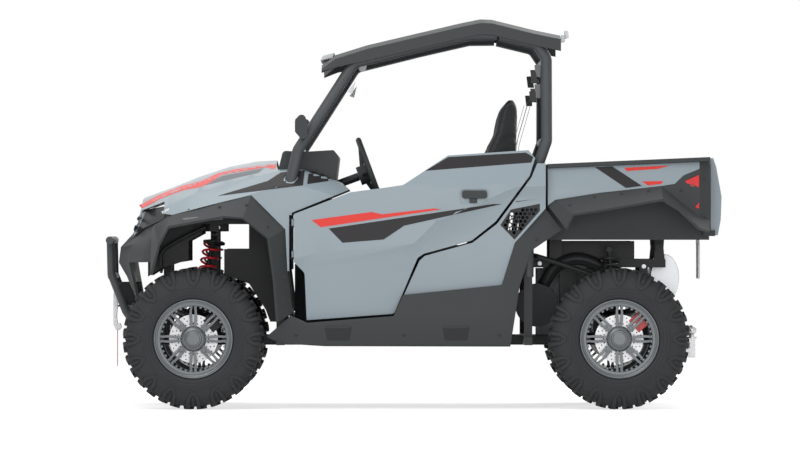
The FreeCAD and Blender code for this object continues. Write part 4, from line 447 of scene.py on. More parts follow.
# Wheels


class TyreForm:
    """The carcass profile of one side as a line measured from the middle of the tread."""

    def __init__(self, half):
        top = TYRE_RADIUS - CARCASS_DROP
        points = [
            (top + 0.001, 0.0),
            (top, half - 0.062),
            (top - 0.004, half - 0.044),
            (top - 0.016, half - 0.028),
            (top - 0.034, half - 0.014),
            (top - 0.058, half - 0.006),
            (top - 0.086, half - 0.001),
            (top - 0.108, half - 0.002),
            (top - 0.124, half - 0.006),
            (RIM_RADIUS + 0.004, half - 0.012),
            (RIM_RADIUS + 0.001, half - 0.017),
        ]
        self.line = catmull(points, 8)
        self.at = [0.0]
        for (r0, y0), (r1, y1) in zip(self.line, self.line[1:]):
            self.at.append(self.at[-1] + math.hypot(r1 - r0, y1 - y0))
        self.reach = self.at[-1]

    def point(self, s):
        """Radius, level and outward normal at a distance from the middle of the tread."""
        s = min(max(s, 0.0), self.reach - 1e-6)
        i = max(k for k in range(len(self.at) - 1) if self.at[k] <= s)
        f = (s - self.at[i]) / (self.at[i + 1] - self.at[i])
        (r0, y0), (r1, y1) = self.line[i], self.line[i + 1]
        length = math.hypot(r1 - r0, y1 - y0)
        normal = ((y1 - y0) / length, -(r1 - r0) / length)
        return r0 + (r1 - r0) * f, y0 + (y1 - y0) * f, normal

    def where(self, t, s, lift):
        """A point t radians round the tyre, s from the middle and lift above the carcass."""
        sign = -1.0 if s < 0 else 1.0
        r, y, (nr, ny) = self.point(abs(s))
        r += nr * lift
        y = sign * (y + ny * lift)
        return (r * math.sin(t), y, r * math.cos(t))


def lug_strip(build, form, path, half_width, heights, sign):
    """A raised bar along a path of pairs (round, across) in metres on the carcass."""
    rows = []
    for i, (t, s) in enumerate(path):
        before = path[max(i - 1, 0)]
        after = path[min(i + 1, len(path) - 1)]
        first = Vector((t - before[0], s - before[1])) if i else Vector((after[0] - t, after[1] - s))
        second = Vector((after[0] - t, after[1] - s)) if i < len(path) - 1 else first
        first.normalize()
        second.normalize()
        across = Vector((-(first.y + second.y), first.x + second.x)).normalized()
        stretch = min(1.6, 1.0 / max(0.35, across.dot(Vector((-first.y, first.x)))))
        row = []
        for width, lift in ((1.0, -0.004), (0.74, heights[i]), (-0.74, heights[i]), (-1.0, -0.004)):
            offset = across * (half_width * width * stretch)
            row.append(form.where((t + offset.x) / TYRE_RADIUS, sign * max(0.002, s + offset.y), lift))
        rows.append(row)
    build.loft(rows)


def dense(path, step=0.011):
    """The same corners with points added on long runs."""
    line = []
    for (t0, s0), (t1, s1) in zip(path, path[1:]):
        count = max(1, round(math.hypot(t1 - t0, s1 - s0) / step))
        line += [(t0 + (t1 - t0) * k / count, s0 + (s1 - s0) * k / count) for k in range(count)]
    return line + [path[-1]]


def tyre_lugs(build, form, half):
    """Hoof shaped lugs from the tread down over the shoulder, alternating from side to side."""
    pitch = 2 * math.pi * TYRE_RADIUS / LUGS
    foot = form.reach - 0.076
    shoulder = half - 0.040
    fade = shoulder + 0.020
    for sign in (1, -1):
        for k in range(LUGS):
            t = pitch * (k + (0.5 if sign < 0 else 0.0))
            outline = [
                (t - 0.040, 0.012),
                (t - 0.026, shoulder * 0.55),
                (t - 0.029, shoulder),
                (t - 0.026, foot - 0.026),
                (t - 0.011, foot - 0.002),
                (t + 0.011, foot - 0.002),
                (t + 0.026, foot - 0.026),
                (t + 0.029, shoulder),
                (t + 0.024, shoulder * 0.62),
            ]
            path = dense(outline)
            heights = [LUG_HEIGHT * min(1.0, max(0.28, 1 - (s - fade) / 0.045)) for _, s in path]
            lug_strip(build, form, path, 0.0105, heights, sign)
            middle = dense([(t, shoulder * 0.9), (t, foot - 0.022)])
            lug_strip(build, form, middle, 0.0095, [LUG_HEIGHT * 0.34] * len(middle), sign)
            block = dense([(t + 0.034, 0.014), (t + 0.058, 0.030), (t + 0.060, shoulder * 0.86)])
            lug_strip(build, form, block, 0.0100, [LUG_HEIGHT] * len(block), sign)


def make_tyre(name, body, x, y, half):
    form = TyreForm(half)
    profile = [(r, -level) for r, level in form.line[::-1]] + form.line[1:]
    profile += [(BEAD_RADIUS + 0.003, half - 0.034), (BEAD_RADIUS + 0.003, -(half - 0.034))]
    build = Build()

    def round_place(angle, r, level):
        return (r * math.sin(angle), level, r * math.cos(angle))

    build.ring(profile, TURN_STEPS, round_place)
    for radius in RIB_RADII:
        rib = []
        s = next(d for d, (r, _) in zip(form.at, form.line) if r <= radius)
        for turn in range(9):
            angle = math.pi * turn / 8
            r, level, (nr, ny) = form.point(s + RIB_HEIGHT * math.cos(angle))
            lift = RIB_HEIGHT * math.sin(angle)
            rib.append((r + nr * lift, level + ny * lift))
        r, level, (nr, ny) = form.point(s)
        rib.append((r - nr * 0.002, level - ny * 0.002))
        for sign in (1, -1):
            build.ring([(q, v * sign) for q, v in rib], TURN_STEPS, round_place)
    tyre_lugs(build, form, half)
    placed = build.moved(x, y, AXLE_Z)
    item = piece(name, placed, "tyre_rubber", body, bevel=0.0016, segments=1, angle=40.0)
    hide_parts(name)


def spoke_bar(side):
    """One bar of a split spoke, as radius and width."""
    return [
        (SPOKE_FOOT, 0.003 * side),
        (0.092, 0.0045 * side),
        (0.134, 0.0065 * side),
        (0.158, 0.0015 * side),
        (SPOKE_FOOT + SPOKE_REACH, 0.0035 * side),
        (0.150, 0.0165 * side),
        (0.120, 0.0185 * side),
        (0.084, 0.0165 * side),
        (SPOKE_FOOT, 0.0130 * side),
    ]


def about_axle(x, y, side):
    """Where a profile turned about a wheel's axle goes."""

    def place(angle, r, level):
        return (x + r * math.sin(angle), y + side * level, AXLE_Z + r * math.cos(angle))

    return place


def beside_axle(x, y, side, radius, angle):
    """Where a small round goes that stands off a wheel's axle."""
    middle_x = x + radius * math.sin(angle)
    middle_z = AXLE_Z + radius * math.cos(angle)

    def place(a, b, level):
        return (middle_x + a, y + side * level, middle_z + b)

    return place


def on_ray(x, y, side, angle, dish=0.0):
    """Where an outline of radius and width goes, on a ray from a wheel's axle."""

    def place(r, w, level):
        rise = dish * math.sin(math.pi * min(1.0, max(0.0, (r - SPOKE_FOOT) / SPOKE_REACH)))
        return (
            x + r * math.sin(angle) + w * math.cos(angle),
            y + side * (level + rise),
            AXLE_Z + r * math.cos(angle) - w * math.sin(angle),
        )

    return place


def make_rim(name, body, x, y, half, side):
    """A split spoke wheel with a notched outer ring."""
    build = Build()
    lip = half - 0.008
    face = lip - 0.022
    barrel = [
        (RIM_RADIUS, lip),
        (RIM_RADIUS - 0.006, lip + 0.001),
        (RIM_RADIUS - 0.010, lip - 0.004),
        (RIM_RADIUS - 0.016, lip - 0.006),
        (RIM_RADIUS - 0.018, lip - 0.003),
        (RIM_RADIUS - 0.030, lip - 0.004),
        (RIM_RADIUS - 0.034, lip - 0.010),
        (BEAD_RADIUS - 0.012, lip - 0.034),
        (BEAD_RADIUS - 0.010, -lip + 0.012),
        (RIM_RADIUS - 0.007, -lip + 0.004),
        (RIM_RADIUS - 0.006, -lip),
        (RIM_RADIUS, -lip),
        (RIM_RADIUS, -lip + 0.010),
        (BEAD_RADIUS, -lip + 0.020),
        (BEAD_RADIUS, lip - 0.020),
        (RIM_RADIUS, lip - 0.010),
    ]
    build.ring(barrel, 72, about_axle(x, y, side))
    hub = [
        (0.0005, face + 0.020),
        (0.030, face + 0.020),
        (0.034, face + 0.016),
        (0.039, face + 0.016),
        (0.041, face + 0.010),
        (0.052, face + 0.007),
        (0.062, face - 0.004),
        (0.062, face - 0.026),
        (0.046, face - 0.060),
        (0.0005, face - 0.060),
    ]
    build.ring(hub, 48, about_axle(x, y, side))
    for k in range(SPOKES):
        ray = on_ray(x, y, side, 2 * math.pi * k / SPOKES, dish=0.006)
        for hand in (1, -1):
            build.prism(spoke_bar(hand), face - 0.022, face - 0.002, ray)
    for k in range(4):
        nut = beside_axle(x, y, side, NUT_CIRCLE, math.radians(45 + 90 * k - 2))
        build.disc(0.017, face - 0.024, face + 0.001, 20, nut)
        build.disc(0.0095, face, face + 0.012, 6, nut)
    notch = [(0.150, -0.005), (0.163, -0.007), (0.163, 0.007), (0.150, 0.005)]
    for k in range(NOTCHES):
        ray = on_ray(x, y, side, 2 * math.pi * (k + 0.5) / NOTCHES)
        build.prism(notch, lip - 0.030, lip - 0.007, ray)
    item = piece(name, build, "rim_alloy", body, bevel=0.0012, segments=2, angle=35.0)
    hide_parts(name)
    make_disc(name.replace("rim", "brake_disc"), body, x, y, face - 0.046, side)


DISC_HOLES = 24

# Rings of a brake disc: inner and outer radius, depths of its two faces, steps round
DISC_RINGS = ((0.062, 0.118, 0.0, 0.005, 64), (0.022, 0.066, 0.003, 0.010, 48))


def make_disc(name, body, x, y, level, side):
    """A brake disc on its carrier, its drilled holes not cut but laid on as dark discs of painted shade."""
    build = Build()
    for inner, outer, top, bottom, steps in DISC_RINGS:
        high = level - top
        low = level - bottom
        profile = [(inner, high), (outer, high), (outer, low), (inner, low)]
        build.ring(profile, steps, about_axle(x, y, side))
    piece(name, build, "steel", body, bevel=0.0006)
    # Dark discs on the face stand for the drilled holes: painted shade.
    hole_shades = Build()
    for ring, radius in enumerate((0.074, 0.090, 0.106)):
        for k in range(DISC_HOLES):
            hole = beside_axle(x, y, side, radius, 2 * math.pi * (k + ring / 3) / DISC_HOLES)
            hole_shades.disc(0.0034, level - 0.001, level + 0.0003, 10, hole)
    piece(name + "_holes", hole_shades, "frame_black", body)


def make_wheels():
    for end in ("front", "rear"):
        for hand, side in SIDES:
            low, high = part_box(f"tyre_{end}_{hand}")
            x = (low[0] + high[0]) / 2
            y = (low[1] + high[1]) / 2
            half = (high[1] - low[1]) / 2 - LUG_PROUD
            body = f"wheel_{end}_{hand}"
            make_tyre(f"tyre_{end}_{hand}", body, x, y, half)
            make_rim(f"rim_{end}_{hand}", body, x, y, half, side)


# Outlines in X and Z, millimetres
DOOR_RED = [(487, 916), (443, 881), (-136, 967), (-104, 972), (146, 944), (196, 955)]
DOOR_BLACK = [(404, 875), (338, 806), (139, 822), (39, 889), (-432, 993), (-390, 993), (-136, 955)]
DOOR_INSERT = [(-62, 1154), (-173, 1220), (-548, 1242), (-584, 1220), (-574, 1194)]
FENDER_BLACK_A = [(939, 1034), (529, 1084), (522, 1158), (637, 1147), (698, 1106), (864, 1054)]
FENDER_BLACK_B = [(509, 1090), (501, 1160), (466, 1161), (381, 1110)]
HOOD_RED_TOP = [(1333, 988), (1244, 1038), (1151, 1078), (1029, 1108), (955, 1144), (871, 1164), (698, 1188)]
HOOD_RED_END = [(668, 1188), (655, 1171), (679, 1164), (712, 1174)]
HOOD_RED_FOOT = [(927, 1138), (984, 1099), (1029, 1077), (1113, 1063), (1216, 1026), (1318, 973)]
HOOD_RED = HOOD_RED_TOP + HOOD_RED_END + HOOD_RED_FOOT
HOOD_PANEL = [(1012, 1085), (926, 1132), (723, 1169), (749, 1146), (973, 1094)]
BED_BLACK = [(-882, 1172), (-966, 1176), (-1110, 1081), (-1032, 1071)]
BED_RED_A = [(-1025, 1169), (-1245, 1180), (-1188, 1163), (-1035, 1153)]
BED_RED_B = [(-1109, 1103), (-1213, 1105), (-1203, 1091), (-1139, 1083)]
QUARTER_DASH = [(-499, 1007), (-603, 1016), (-571, 1013), (-500, 1003)]
# Dark patches on the rockers where their recesses are: painted shade, the recesses are not cut.
ROCKER_HOLLOW_SHADES = (
    [(426, 405), (290, 405), (304, 334), (412, 334)],
    [(-143, 405), (-278, 405), (-264, 334), (-157, 334)],
)
NOSE_BAND = [(1323, 978), (1302, 954), (1352, 845), (1370, 834)]
# A silver decal on the headlamp lens, in X and Z: a painted highlight.
HEADLAMP_HIGHLIGHT = [(1220, 957), (1176, 976), (1179, 963), (1211, 946)]
LAMP_INSET = [(-1325, 1077), (-1361, 1096), (-1361, 992), (-1325, 1010)]
PILLAR_TAB = [(313, 1537), (276, 1588), (290, 1530)]
# The roof's front and rear lips, pale as a painted highlight of light on their glossy edges.
ROOF_FRONT_LIP_HIGHLIGHT = [(449, 1692), (436, 1718), (379, 1733), (388, 1706)]
ROOF_REAR_LIP_HIGHLIGHT = [(-742, 1838), (-757, 1836), (-762, 1806), (-745, 1800)]
REELS = (
    [(-573, 1635), (-600, 1637), (-612, 1579), (-580, 1579)],
    [(-566, 1540), (-600, 1540), (-602, 1487), (-572, 1487)],
)
REEL_MOUNTS = (
    [(-592, 1668), (-622, 1668), (-622, 1607), (-598, 1612)],
    [(-592, 1575), (-622, 1575), (-622, 1505), (-598, 1508)],
)
BELT_RUNS = ([(-578, 1492), (-518, 1282), (-508, 1210)], [(-562, 1492), (-513, 1320), (-496, 1210)])
BEZEL = [(-228, 1068), (-228, 994), (-368, 994), (-368, 1068)]
HANDLE = [(-240, 1058), (-240, 1020), (-360, 1020), (-360, 1058)]
HANDLE_TAB = [(-275, 1022), (-275, 997), (-312, 997), (-312, 1022)]
FLARE_BOLTS = ((1080, 962), (930, 975), (800, 985), (700, 880), (632, 760), (620, 640), (612, 540))
TAIL_BOLTS = (
    (-760, 985),
    (-880, 1025),
    (-1010, 1040),
    (-1140, 1052),
    (-1300, 1060),
    (-1410, 1110),
    (-1410, 930),
)
ROCKER_BOLTS = ((560, 360), (40, 360), (-420, 360), (-600, 820))
FRAME_BOLTS = ((-622, 361, 705), (1075, 201, 880), (950, 201, 880), (1198, 201, 880), (-1130, 351, 690))

# Bars on the left, X, Y and Z in millimetres
FLARE_BRACE = [(1112, 752, 913), (1010, 754, 922), (914, 752, 931)]
ARCH_TUBE = [(1000, 395, 886), (1100, 400, 838), (1196, 404, 784), (1224, 404, 746), (1224, 402, 691)]
REAR_BRACE = [(-596, 452, 742), (-760, 452, 690), (-960, 452, 612)]
AIR_HOSE = [(-640, 330, 600), (-700, 345, 690), (-800, 352, 728), (-900, 345, 700), (-960, 330, 640)]

# Small fittings, the first three in millimetres
HANDLE_X = -300
HANDLE_Z = 1035
BEZEL_RIM = 6
REEL_INNER_Y = 0.548
REEL_OUTER_Y = 0.592
PILLAR_TAB_INNER = 0.560
PILLAR_TAB_OUTER = 0.600
# Sizes of the roof's lips below, whose pale colour is a painted highlight.
ROOF_FRONT_LIP_HALF = 0.40
ROOF_REAR_LIP_HIGHLIGHT_INNER = 0.30
ROOF_REAR_LIP_HIGHLIGHT_OUTER = 0.46
STRAP_THICKNESS = 0.0026
STITCH = 0.0022
BED_FLOOR_Z = 0.838
RIB_PITCH = 0.095
RIB_HALF = 0.016
RIB_REAR_X = -1.405
RIB_FRONT_X = -0.695


# Graphics on the panels


def surface_of(*names):
    """Something to cast rays at: the dressed surfaces of CAD nodes."""
    graph = bpy.context.evaluated_depsgraph_get()
    return [BVHTree.FromObject(NODES[n], graph) for n in names]


def cast(trees, x, z, side):
    """The outermost Y of the surfaces at a place seen from one side."""
    best = None
    for tree in trees:
        hit = tree.ray_cast(Vector((x, side * 1.5, z)), Vector((0, -side, 0)))
        if hit[0] is not None and (best is None or hit[0].y * side > best * side):
            best = hit[0].y
    return best


def decal(name, outline, trees, finish, body, side, lift=0.0007, step=0.03):
    """A thin painted shape that follows the panel under it, from X and Z corners in millimetres."""
    work = bmesh.new()
    corners = [work.verts.new((x * MM, 0.0, z * MM)) for x, z in outline]
    work.faces.new(corners)
    bmesh.ops.triangulate(work, faces=work.faces[:])
    for axis, normal in ((0, (1, 0, 0)), (2, (0, 0, 1))):
        low = min(v.co[axis] for v in work.verts)
        high = max(v.co[axis] for v in work.verts)
        k = math.floor(low / step) + 1
        while k * step < high:
            point = [0.0, 0.0, 0.0]
            point[axis] = k * step
            whole = work.verts[:] + work.edges[:] + work.faces[:]
            bmesh.ops.bisect_plane(work, geom=whole, plane_co=point, plane_no=normal)
            k += 1
    bmesh.ops.remove_doubles(work, verts=work.verts, dist=1e-6)
    levels = [cast(trees, v.co.x, v.co.z, side) for v in work.verts]
    found = [y for y in levels if y is not None]
    for v, y in zip(work.verts, levels):
        v.co.y = (found[-1] if y is None else y) + side * lift
    work.verts.index_update()
    build = Build()
    build.add([v.co for v in work.verts], [[v.index for v in f.verts] for f in work.faces])
    work.free()
    item = piece(name, build, finish, body)
    thick = item.modifiers.new("thick", "SOLIDIFY")
    thick.thickness = 0.0006
    thick.offset = -1.0 if side > 0 else 1.0
    return item


def make_graphics():
    """The red and black stripes, a grey hood panel and painted shade in the rocker recesses, on both sides
    alike.
    """
    for hand, side in SIDES:
        body = f"door_{hand}"
        door = surface_of(body)
        decal(f"door_stripe_red_{hand}", DOOR_RED, door, "graphic_red", body, side)
        decal(f"door_stripe_black_{hand}", DOOR_BLACK, door, "graphic_black", body, side)
        decal(f"door_top_insert_{hand}", DOOR_INSERT, door, "graphic_black", body, side)
        fender = surface_of("front_fenders")
        for letter, outline in (("a", FENDER_BLACK_A), ("b", FENDER_BLACK_B)):
            name = f"fender_stripe_{letter}_{hand}"
            decal(name, outline, fender, "graphic_black", "root", side, lift=0.0018, step=0.012)
        top = surface_of("front_fenders", "hood")
        decal(f"hood_strip_{hand}", HOOD_RED, top, "graphic_red", "root", side, lift=0.0025, step=0.008)
        decal(f"hood_panel_{hand}", HOOD_PANEL, top, "panel_shade", "root", side, lift=0.002, step=0.008)
        rocker = surface_of("rockers")
        # Black patches over the rocker recesses: painted shade.
        for n, outline in enumerate(ROCKER_HOLLOW_SHADES):
            decal(f"rocker_hollow_{n}_{hand}", outline, rocker, "frame_black", "root", side)
        bed = surface_of("bed_sides")
        decal(f"bed_stripe_black_{hand}", BED_BLACK, bed, "graphic_black", "bed", side)
        decal(f"bed_stripe_red_a_{hand}", BED_RED_A, bed, "graphic_red", "bed", side)
        decal(f"bed_stripe_red_b_{hand}", BED_RED_B, bed, "graphic_red", "bed", side)
        quarter = surface_of("rear_quarters")
        decal(f"quarter_dash_{hand}", QUARTER_DASH, quarter, "graphic_black", "root", side)


# Bars, cords and bands


def along(build, points, section):
    """A section of pairs (out, across) carried along points in three dimensions."""
    line = [Vector(p) for p in points]
    rows = []
    for i, centre in enumerate(line):
        before = line[max(i - 1, 0)]
        after = line[min(i + 1, len(line) - 1)]
        tangent = (after - before).normalized()
        across = Vector((0, 1, 0)) if abs(tangent.y) < 0.8 else Vector((0, 0, 1))
        out = across.cross(tangent).normalized()
        across = tangent.cross(out).normalized()
        rows.append([centre + out * a + across * b for a, b in section])
    build.loft(rows)


def bar(name, points, radius, side, finish="frame_black"):
    """A round bar through points of the left side, all in millimetres."""
    build = Build()
    line = [(x * MM, y * MM * side, z * MM) for x, y, z in points]
    along(build, catmull(line, 6), round_section(radius * MM))
    piece(name, build, finish, "root", smooth=True)


def upright(name, outline, low, high, finish, body, bevel=0.0015):
    """An outline of X and Z in millimetres between two Y levels in metres."""
    build = Build()
    build.slab(outline, low, high)
    return piece(name, build, finish, body, bevel=bevel)


def strap_line(points):
    """The points of a smooth line through its own control points."""
    curve = bpy.data.curves.new("route", "CURVE")
    curve.dimensions = "3D"
    spline = curve.splines.new("NURBS")
    spline.points.add(len(points) - 1)
    for target, place in zip(spline.points, points):
        target.co = (*place, 1.0)
    spline.order_u = 3
    spline.use_endpoint_u = True
    spline.resolution_u = 8
    holder = bpy.data.objects.new("route", curve)
    bpy.context.scene.collection.objects.link(holder)
    graph = bpy.context.evaluated_depsgraph_get()
    mesh = bpy.data.meshes.new_from_object(holder.evaluated_get(graph))
    line = [v.co.copy() for v in mesh.vertices]
    bpy.data.objects.remove(holder)
    bpy.data.curves.remove(curve)
    bpy.data.meshes.remove(mesh)
    return line


def make_strap():
    """The winch's pull strap, which hangs straight from the hook."""
    low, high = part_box("winch_strap")
    x = (low[0] + high[0]) / 2
    width = high[1] - low[1]
    length = high[2] - low[2]
    route = [(x, 0.0, high[2] - length * k / 5) for k in range(6)]
    line = strap_line(route)
    build = Build()
    along(build, line, flat_section(STRAP_THICKNESS, width))
    strap = piece("winch_strap_webbing", build, "strap_red", "root", bevel=0.0004)
    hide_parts("winch_strap")
    seams = Build()
    front = x + STRAP_THICKNESS / 2 + 0.0001
    for z in (0.012, 0.018, length - 0.030, length - 0.022):
        for k in range(7):
            y = width * (k - 3) / 8
            stitch = [(front, y - STITCH / 2, high[2] - z), (front, y + STITCH / 2, high[2] - z)]
            along(seams, stitch, round_section(0.0005, 6))
    stitches = piece("winch_strap_stitches", seams, "stitching", "root")
    tuple(line[0])


# Seats

SEAT_Y = 0.290
PAD_VOXEL = 0.010
PAD_SWELL = 0.012
PAD_PRESSURE = 4.0
CLOTH_FRAMES = 20
PLAIN_HALF = 0.118
WELT_Y = 0.122
WELT_RADIUS = 0.0032
BACK_CHANNELS = [0.86, 0.95, 1.04, 1.13, 1.22]
CUSHION_CHANNELS = [-0.23, -0.15, -0.07, 0.01]
BACK_WELT_Z = (0.78, 0.88, 0.98, 1.08, 1.18, 1.26, 1.34)
CUSHION_WELT_X = (0.03, -0.04, -0.11, -0.18, -0.25)
SEAT_SHELL = [
    (-430, 641),
    (28, 641),
    (52, 668),
    (-270, 668),
    (-300, 700),
    (-428, 712),
    (-455, 860),
    (-497, 1180),
    (-506, 1180),
    (-470, 900),
]

# Slices of the pads: place, front or top, back or bottom, half width and height of the bolsters
BACK = [
    (0.715, -0.300, -0.425, 0.205, 0.030),
    (0.850, -0.335, -0.452, 0.226, 0.060),
    (1.000, -0.362, -0.468, 0.232, 0.075),
    (1.150, -0.388, -0.485, 0.230, 0.070),
    (1.260, -0.412, -0.493, 0.222, 0.050),
    (1.345, -0.424, -0.497, 0.196, 0.018),
    (1.420, -0.432, -0.500, 0.166, 0.006),
    (1.490, -0.452, -0.500, 0.146, 0.0),
    (1.512, -0.468, -0.494, 0.120, 0.0),
]
CUSHION = [
    (0.055, 0.730, 0.672, 0.190, 0.006),
    (0.020, 0.752, 0.664, 0.222, 0.020),
    (-0.100, 0.752, 0.664, 0.230, 0.034),
    (-0.220, 0.746, 0.664, 0.228, 0.040),
    (-0.300, 0.742, 0.666, 0.214, 0.030),
]


def pad_section(front, back, half, bolster, count=18):
    """A closed line of pairs (depth, across) round one slice of a pad with raised sides."""
    line = []
    for k in range(count + 1):
        t = -1 + 2 * k / count
        rise = max(0.0, min(1.0, (abs(t) - 0.5) / 0.28))
        rise = rise * rise * (3 - 2 * rise)
        edge = max(0.0, (abs(t) - 0.86) / 0.14)
        drop = 0.30 * edge * edge * abs(front - back)
        toward = 1.0 if front > back else -1.0
        line.append((front + toward * (bolster * rise - drop), half * t))
    for k in range(1, count // 2):
        t = 1 - 2 * k / (count // 2)
        edge = max(0.0, (abs(t) - 0.6) / 0.4)
        line.append((back + (front - back) * 0.22 * edge * edge, half * t * 0.985))
    return line


def pad(name, stations, place):
    """A closed form lofted through slices, each point through place(station, depth, across)."""
    build = Build()
    rows = []
    for at, *shape in stations:
        rows.append([place(at, depth, across) for depth, across in pad_section(*shape)])
    build.loft(rows)
    return piece(name, build, "seat_vinyl", "root")


def keep_modifier(item, name):
    bpy.context.view_layer.objects.active = item
    with bpy.context.temp_override(object=item, active_object=item, selected_objects=[item]):
        bpy.ops.object.modifier_apply(modifier=name)


def inflate(item):
    """Run cloth under pressure, and move each point as far as the swelling may go."""
    before = [v.co.copy() for v in item.data.vertices]
    cloth = item.modifiers.new("cloth", "CLOTH")
    cloth.settings.use_pressure = True
    cloth.settings.uniform_pressure_force = PAD_PRESSURE
    cloth.settings.effector_weights.gravity = 0.0
    cloth.settings.quality = 4
    cloth.point_cache.frame_start = 1
    cloth.point_cache.frame_end = CLOTH_FRAMES
    for frame_number in range(1, CLOTH_FRAMES + 1):
        bpy.context.scene.frame_set(frame_number)
    graph = bpy.context.evaluated_depsgraph_get()
    after = [v.co.copy() for v in item.evaluated_get(graph).data.vertices]
    item.modifiers.remove(cloth)
    bpy.context.scene.frame_set(1)
    for vertex, start, end in zip(item.data.vertices, before, after):
        move = end - start
        if move.length > PAD_SWELL:
            move *= PAD_SWELL / move.length
        vertex.co = start + move


def plump(item):
    """Fill a pad, and leave it with a fine smooth mesh."""
    remesh = item.modifiers.new("remesh", "REMESH")
    remesh.mode = "VOXEL"
    remesh.voxel_size = PAD_VOXEL
    keep_modifier(item, "remesh")
    inflate(item)
    finer = item.modifiers.new("finer", "SUBSURF")
    finer.levels = 1
    finer.render_levels = 1
    keep_modifier(item, "finer")
    item.data.shade_smooth()


def sew(item, lines, axis, depth=0.006, width=0.006):
    """Press sewn channels into the face of a pad, at levels along one axis."""
    normals = [v.normal.copy() for v in item.data.vertices]
    for vertex, normal in zip(item.data.vertices, normals):
        co = vertex.co.copy()
        facing = normal.x if axis == 2 else normal.z
        if abs(co.y) > PLAIN_HALF or facing < 0.35:
            continue
        fade = min(1.0, (PLAIN_HALF - abs(co.y)) / 0.012)
        press = sum(math.exp(-(((co[axis] - level) / width) ** 2)) for level in lines)
        vertex.co = co - normal * (depth * fade * press)


def add_welt(build, item, marks, towards):
    """A thin welt laid on a pad's surface through places that are cast onto it."""
    tree = BVHTree.FromObject(item, bpy.context.evaluated_depsgraph_get())
    line = []
    for mark in marks:
        hit = tree.ray_cast(Vector(mark) + towards * 0.4, -towards)
        if hit[0] is not None:
            line.append(tuple(hit[0]))
    along(build, catmull(line, 3), round_section(WELT_RADIUS, 8))


def make_pads():
    """A cushion and a back with raised sides, both on the vehicle's middle plane, and their welts."""
    back = pad("seat_back_left", BACK, lambda z, x, y: (x, y, z))
    cushion = pad("seat_cushion_left", CUSHION, lambda x, z, y: (x, y, z))
    plump(back)
    plump(cushion)
    sew(back, BACK_CHANNELS, 2)
    sew(cushion, CUSHION_CHANNELS, 0)
    welts = Build()
    for side in (-1, 1):
        marks = [(0, side * (WELT_Y - 0.25 * max(0.0, z - 1.20)), z) for z in BACK_WELT_Z]
        add_welt(welts, back, marks, Vector((1, 0, 0)))
        add_welt(welts, cushion, [(x, side * WELT_Y, 0.70) for x in CUSHION_WELT_X], Vector((0, 0, 1)))
    return back, cushion, welts


def right_copy(item):
    other = item.copy()
    other.data = item.data.copy()
    other.name = item.name.replace("left", "right")
    bpy.context.scene.collection.objects.link(other)
    return other


def place_seats():
    """Two bucket seats on plastic shells."""
    *pads, welts = make_pads()
    sets = (("left", 1, pads), ("right", -1, [right_copy(item) for item in pads]))
    for hand, side, items in sets:
        y = SEAT_Y * side
        for item in items:
            item.data.transform(Matrix.Translation((0.0, y, 0.0)))
            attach(item, "root")
        base = upright(f"seat_shell_{hand}", SEAT_SHELL, y - 0.20, y + 0.20, "trim_dark", "root")
        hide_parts(f"seat_{hand}")
        piece(f"seat_welts_{hand}", welts.moved(0.0, y, 0.0), "stitching", "root", smooth=True)


# Small fittings


def make_belts():
    """Belt reels on brackets behind each seat, with the webbing as two thin runs."""
    for hand, side in SIDES:
        low, high = sorted((REEL_INNER_Y * side, REEL_OUTER_Y * side))
        reel = Build()
        for outline in REELS:
            reel.slab(outline, low, high)
        reels = piece(f"belt_reels_{hand}", reel, "frame_black", "root", bevel=0.003)
        if side > 0:
            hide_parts("seat_belts")
        mounts = Build()
        for outline in REEL_MOUNTS:
            mounts.slab(outline, low, high)
        piece(f"belt_mounts_{hand}", mounts, "trim_grey", "root", bevel=0.002)
        webbing = Build()
        middle = (low + high) / 2
        for run in BELT_RUNS:
            along(webbing, [(x, middle, z) for x, z in to_metres(run)], flat_section(0.0016, 0.044))
        piece(f"belt_webbing_{hand}", webbing, "belt_black", "root")


def make_handles():
    """Door pulls in a raised bezel."""
    for hand, side in SIDES:
        body = f"door_{hand}"
        door = surface_of(body)
        y = cast(door, HANDLE_X * MM, HANDLE_Z * MM, side)
        bezel = Build()
        outer = rounded(BEZEL, 0.016)
        inner = rounded(inset(BEZEL, BEZEL_RIM), 0.012)
        sunk = y - side * 0.004
        proud = y + side * 0.003
        verts = []
        for level, line in ((sunk, outer), (proud, outer), (proud, inner), (sunk, inner)):
            verts += [(a, level, b) for a, b in line]
        count = len(outer)
        faces = []
        for ring in range(4):
            for k in range(count):
                n = (k + 1) % count
                a = ring * count
                b = (ring + 1) % 4 * count
                faces.append((a + k, a + n, b + n, b + k))
        bezel.add(verts, faces)
        piece(f"door_bezel_{hand}", bezel, "panel_grey", body, bevel=0.001)
        pull = Build()
        for outline, radius, rise in ((HANDLE, 0.014, 0.015), (HANDLE_TAB, 0.004, 0.009)):
            pull.prism(rounded(outline, radius), y - side * 0.002, y + side * rise, level_is_y)
        piece(f"door_pull_{hand}", pull, "trim_dark", body, bevel=0.004, segments=3)


def inset(outline, rim):
    """The corners of a box, each moved in by a rim, in millimetres."""
    return [
        (x + math.copysign(rim, HANDLE_X - x), z + math.copysign(rim, HANDLE_Z - z)) for x, z in outline
    ]


def rounded(outline, radius, steps=5):
    """Corners in millimetres turned to a line in metres with round corners."""
    points = [Vector(point) for point in to_metres(outline)]
    line = []
    for i, corner in enumerate(points):
        back = (points[i - 1] - corner).normalized()
        on = (points[(i + 1) % len(points)] - corner).normalized()
        start = corner + back * radius
        end = corner + on * radius
        for k in range(steps + 1):
            t = k / steps
            line.append(tuple(start * (1 - t) ** 2 + corner * 2 * t * (1 - t) + end * t * t))
    return line


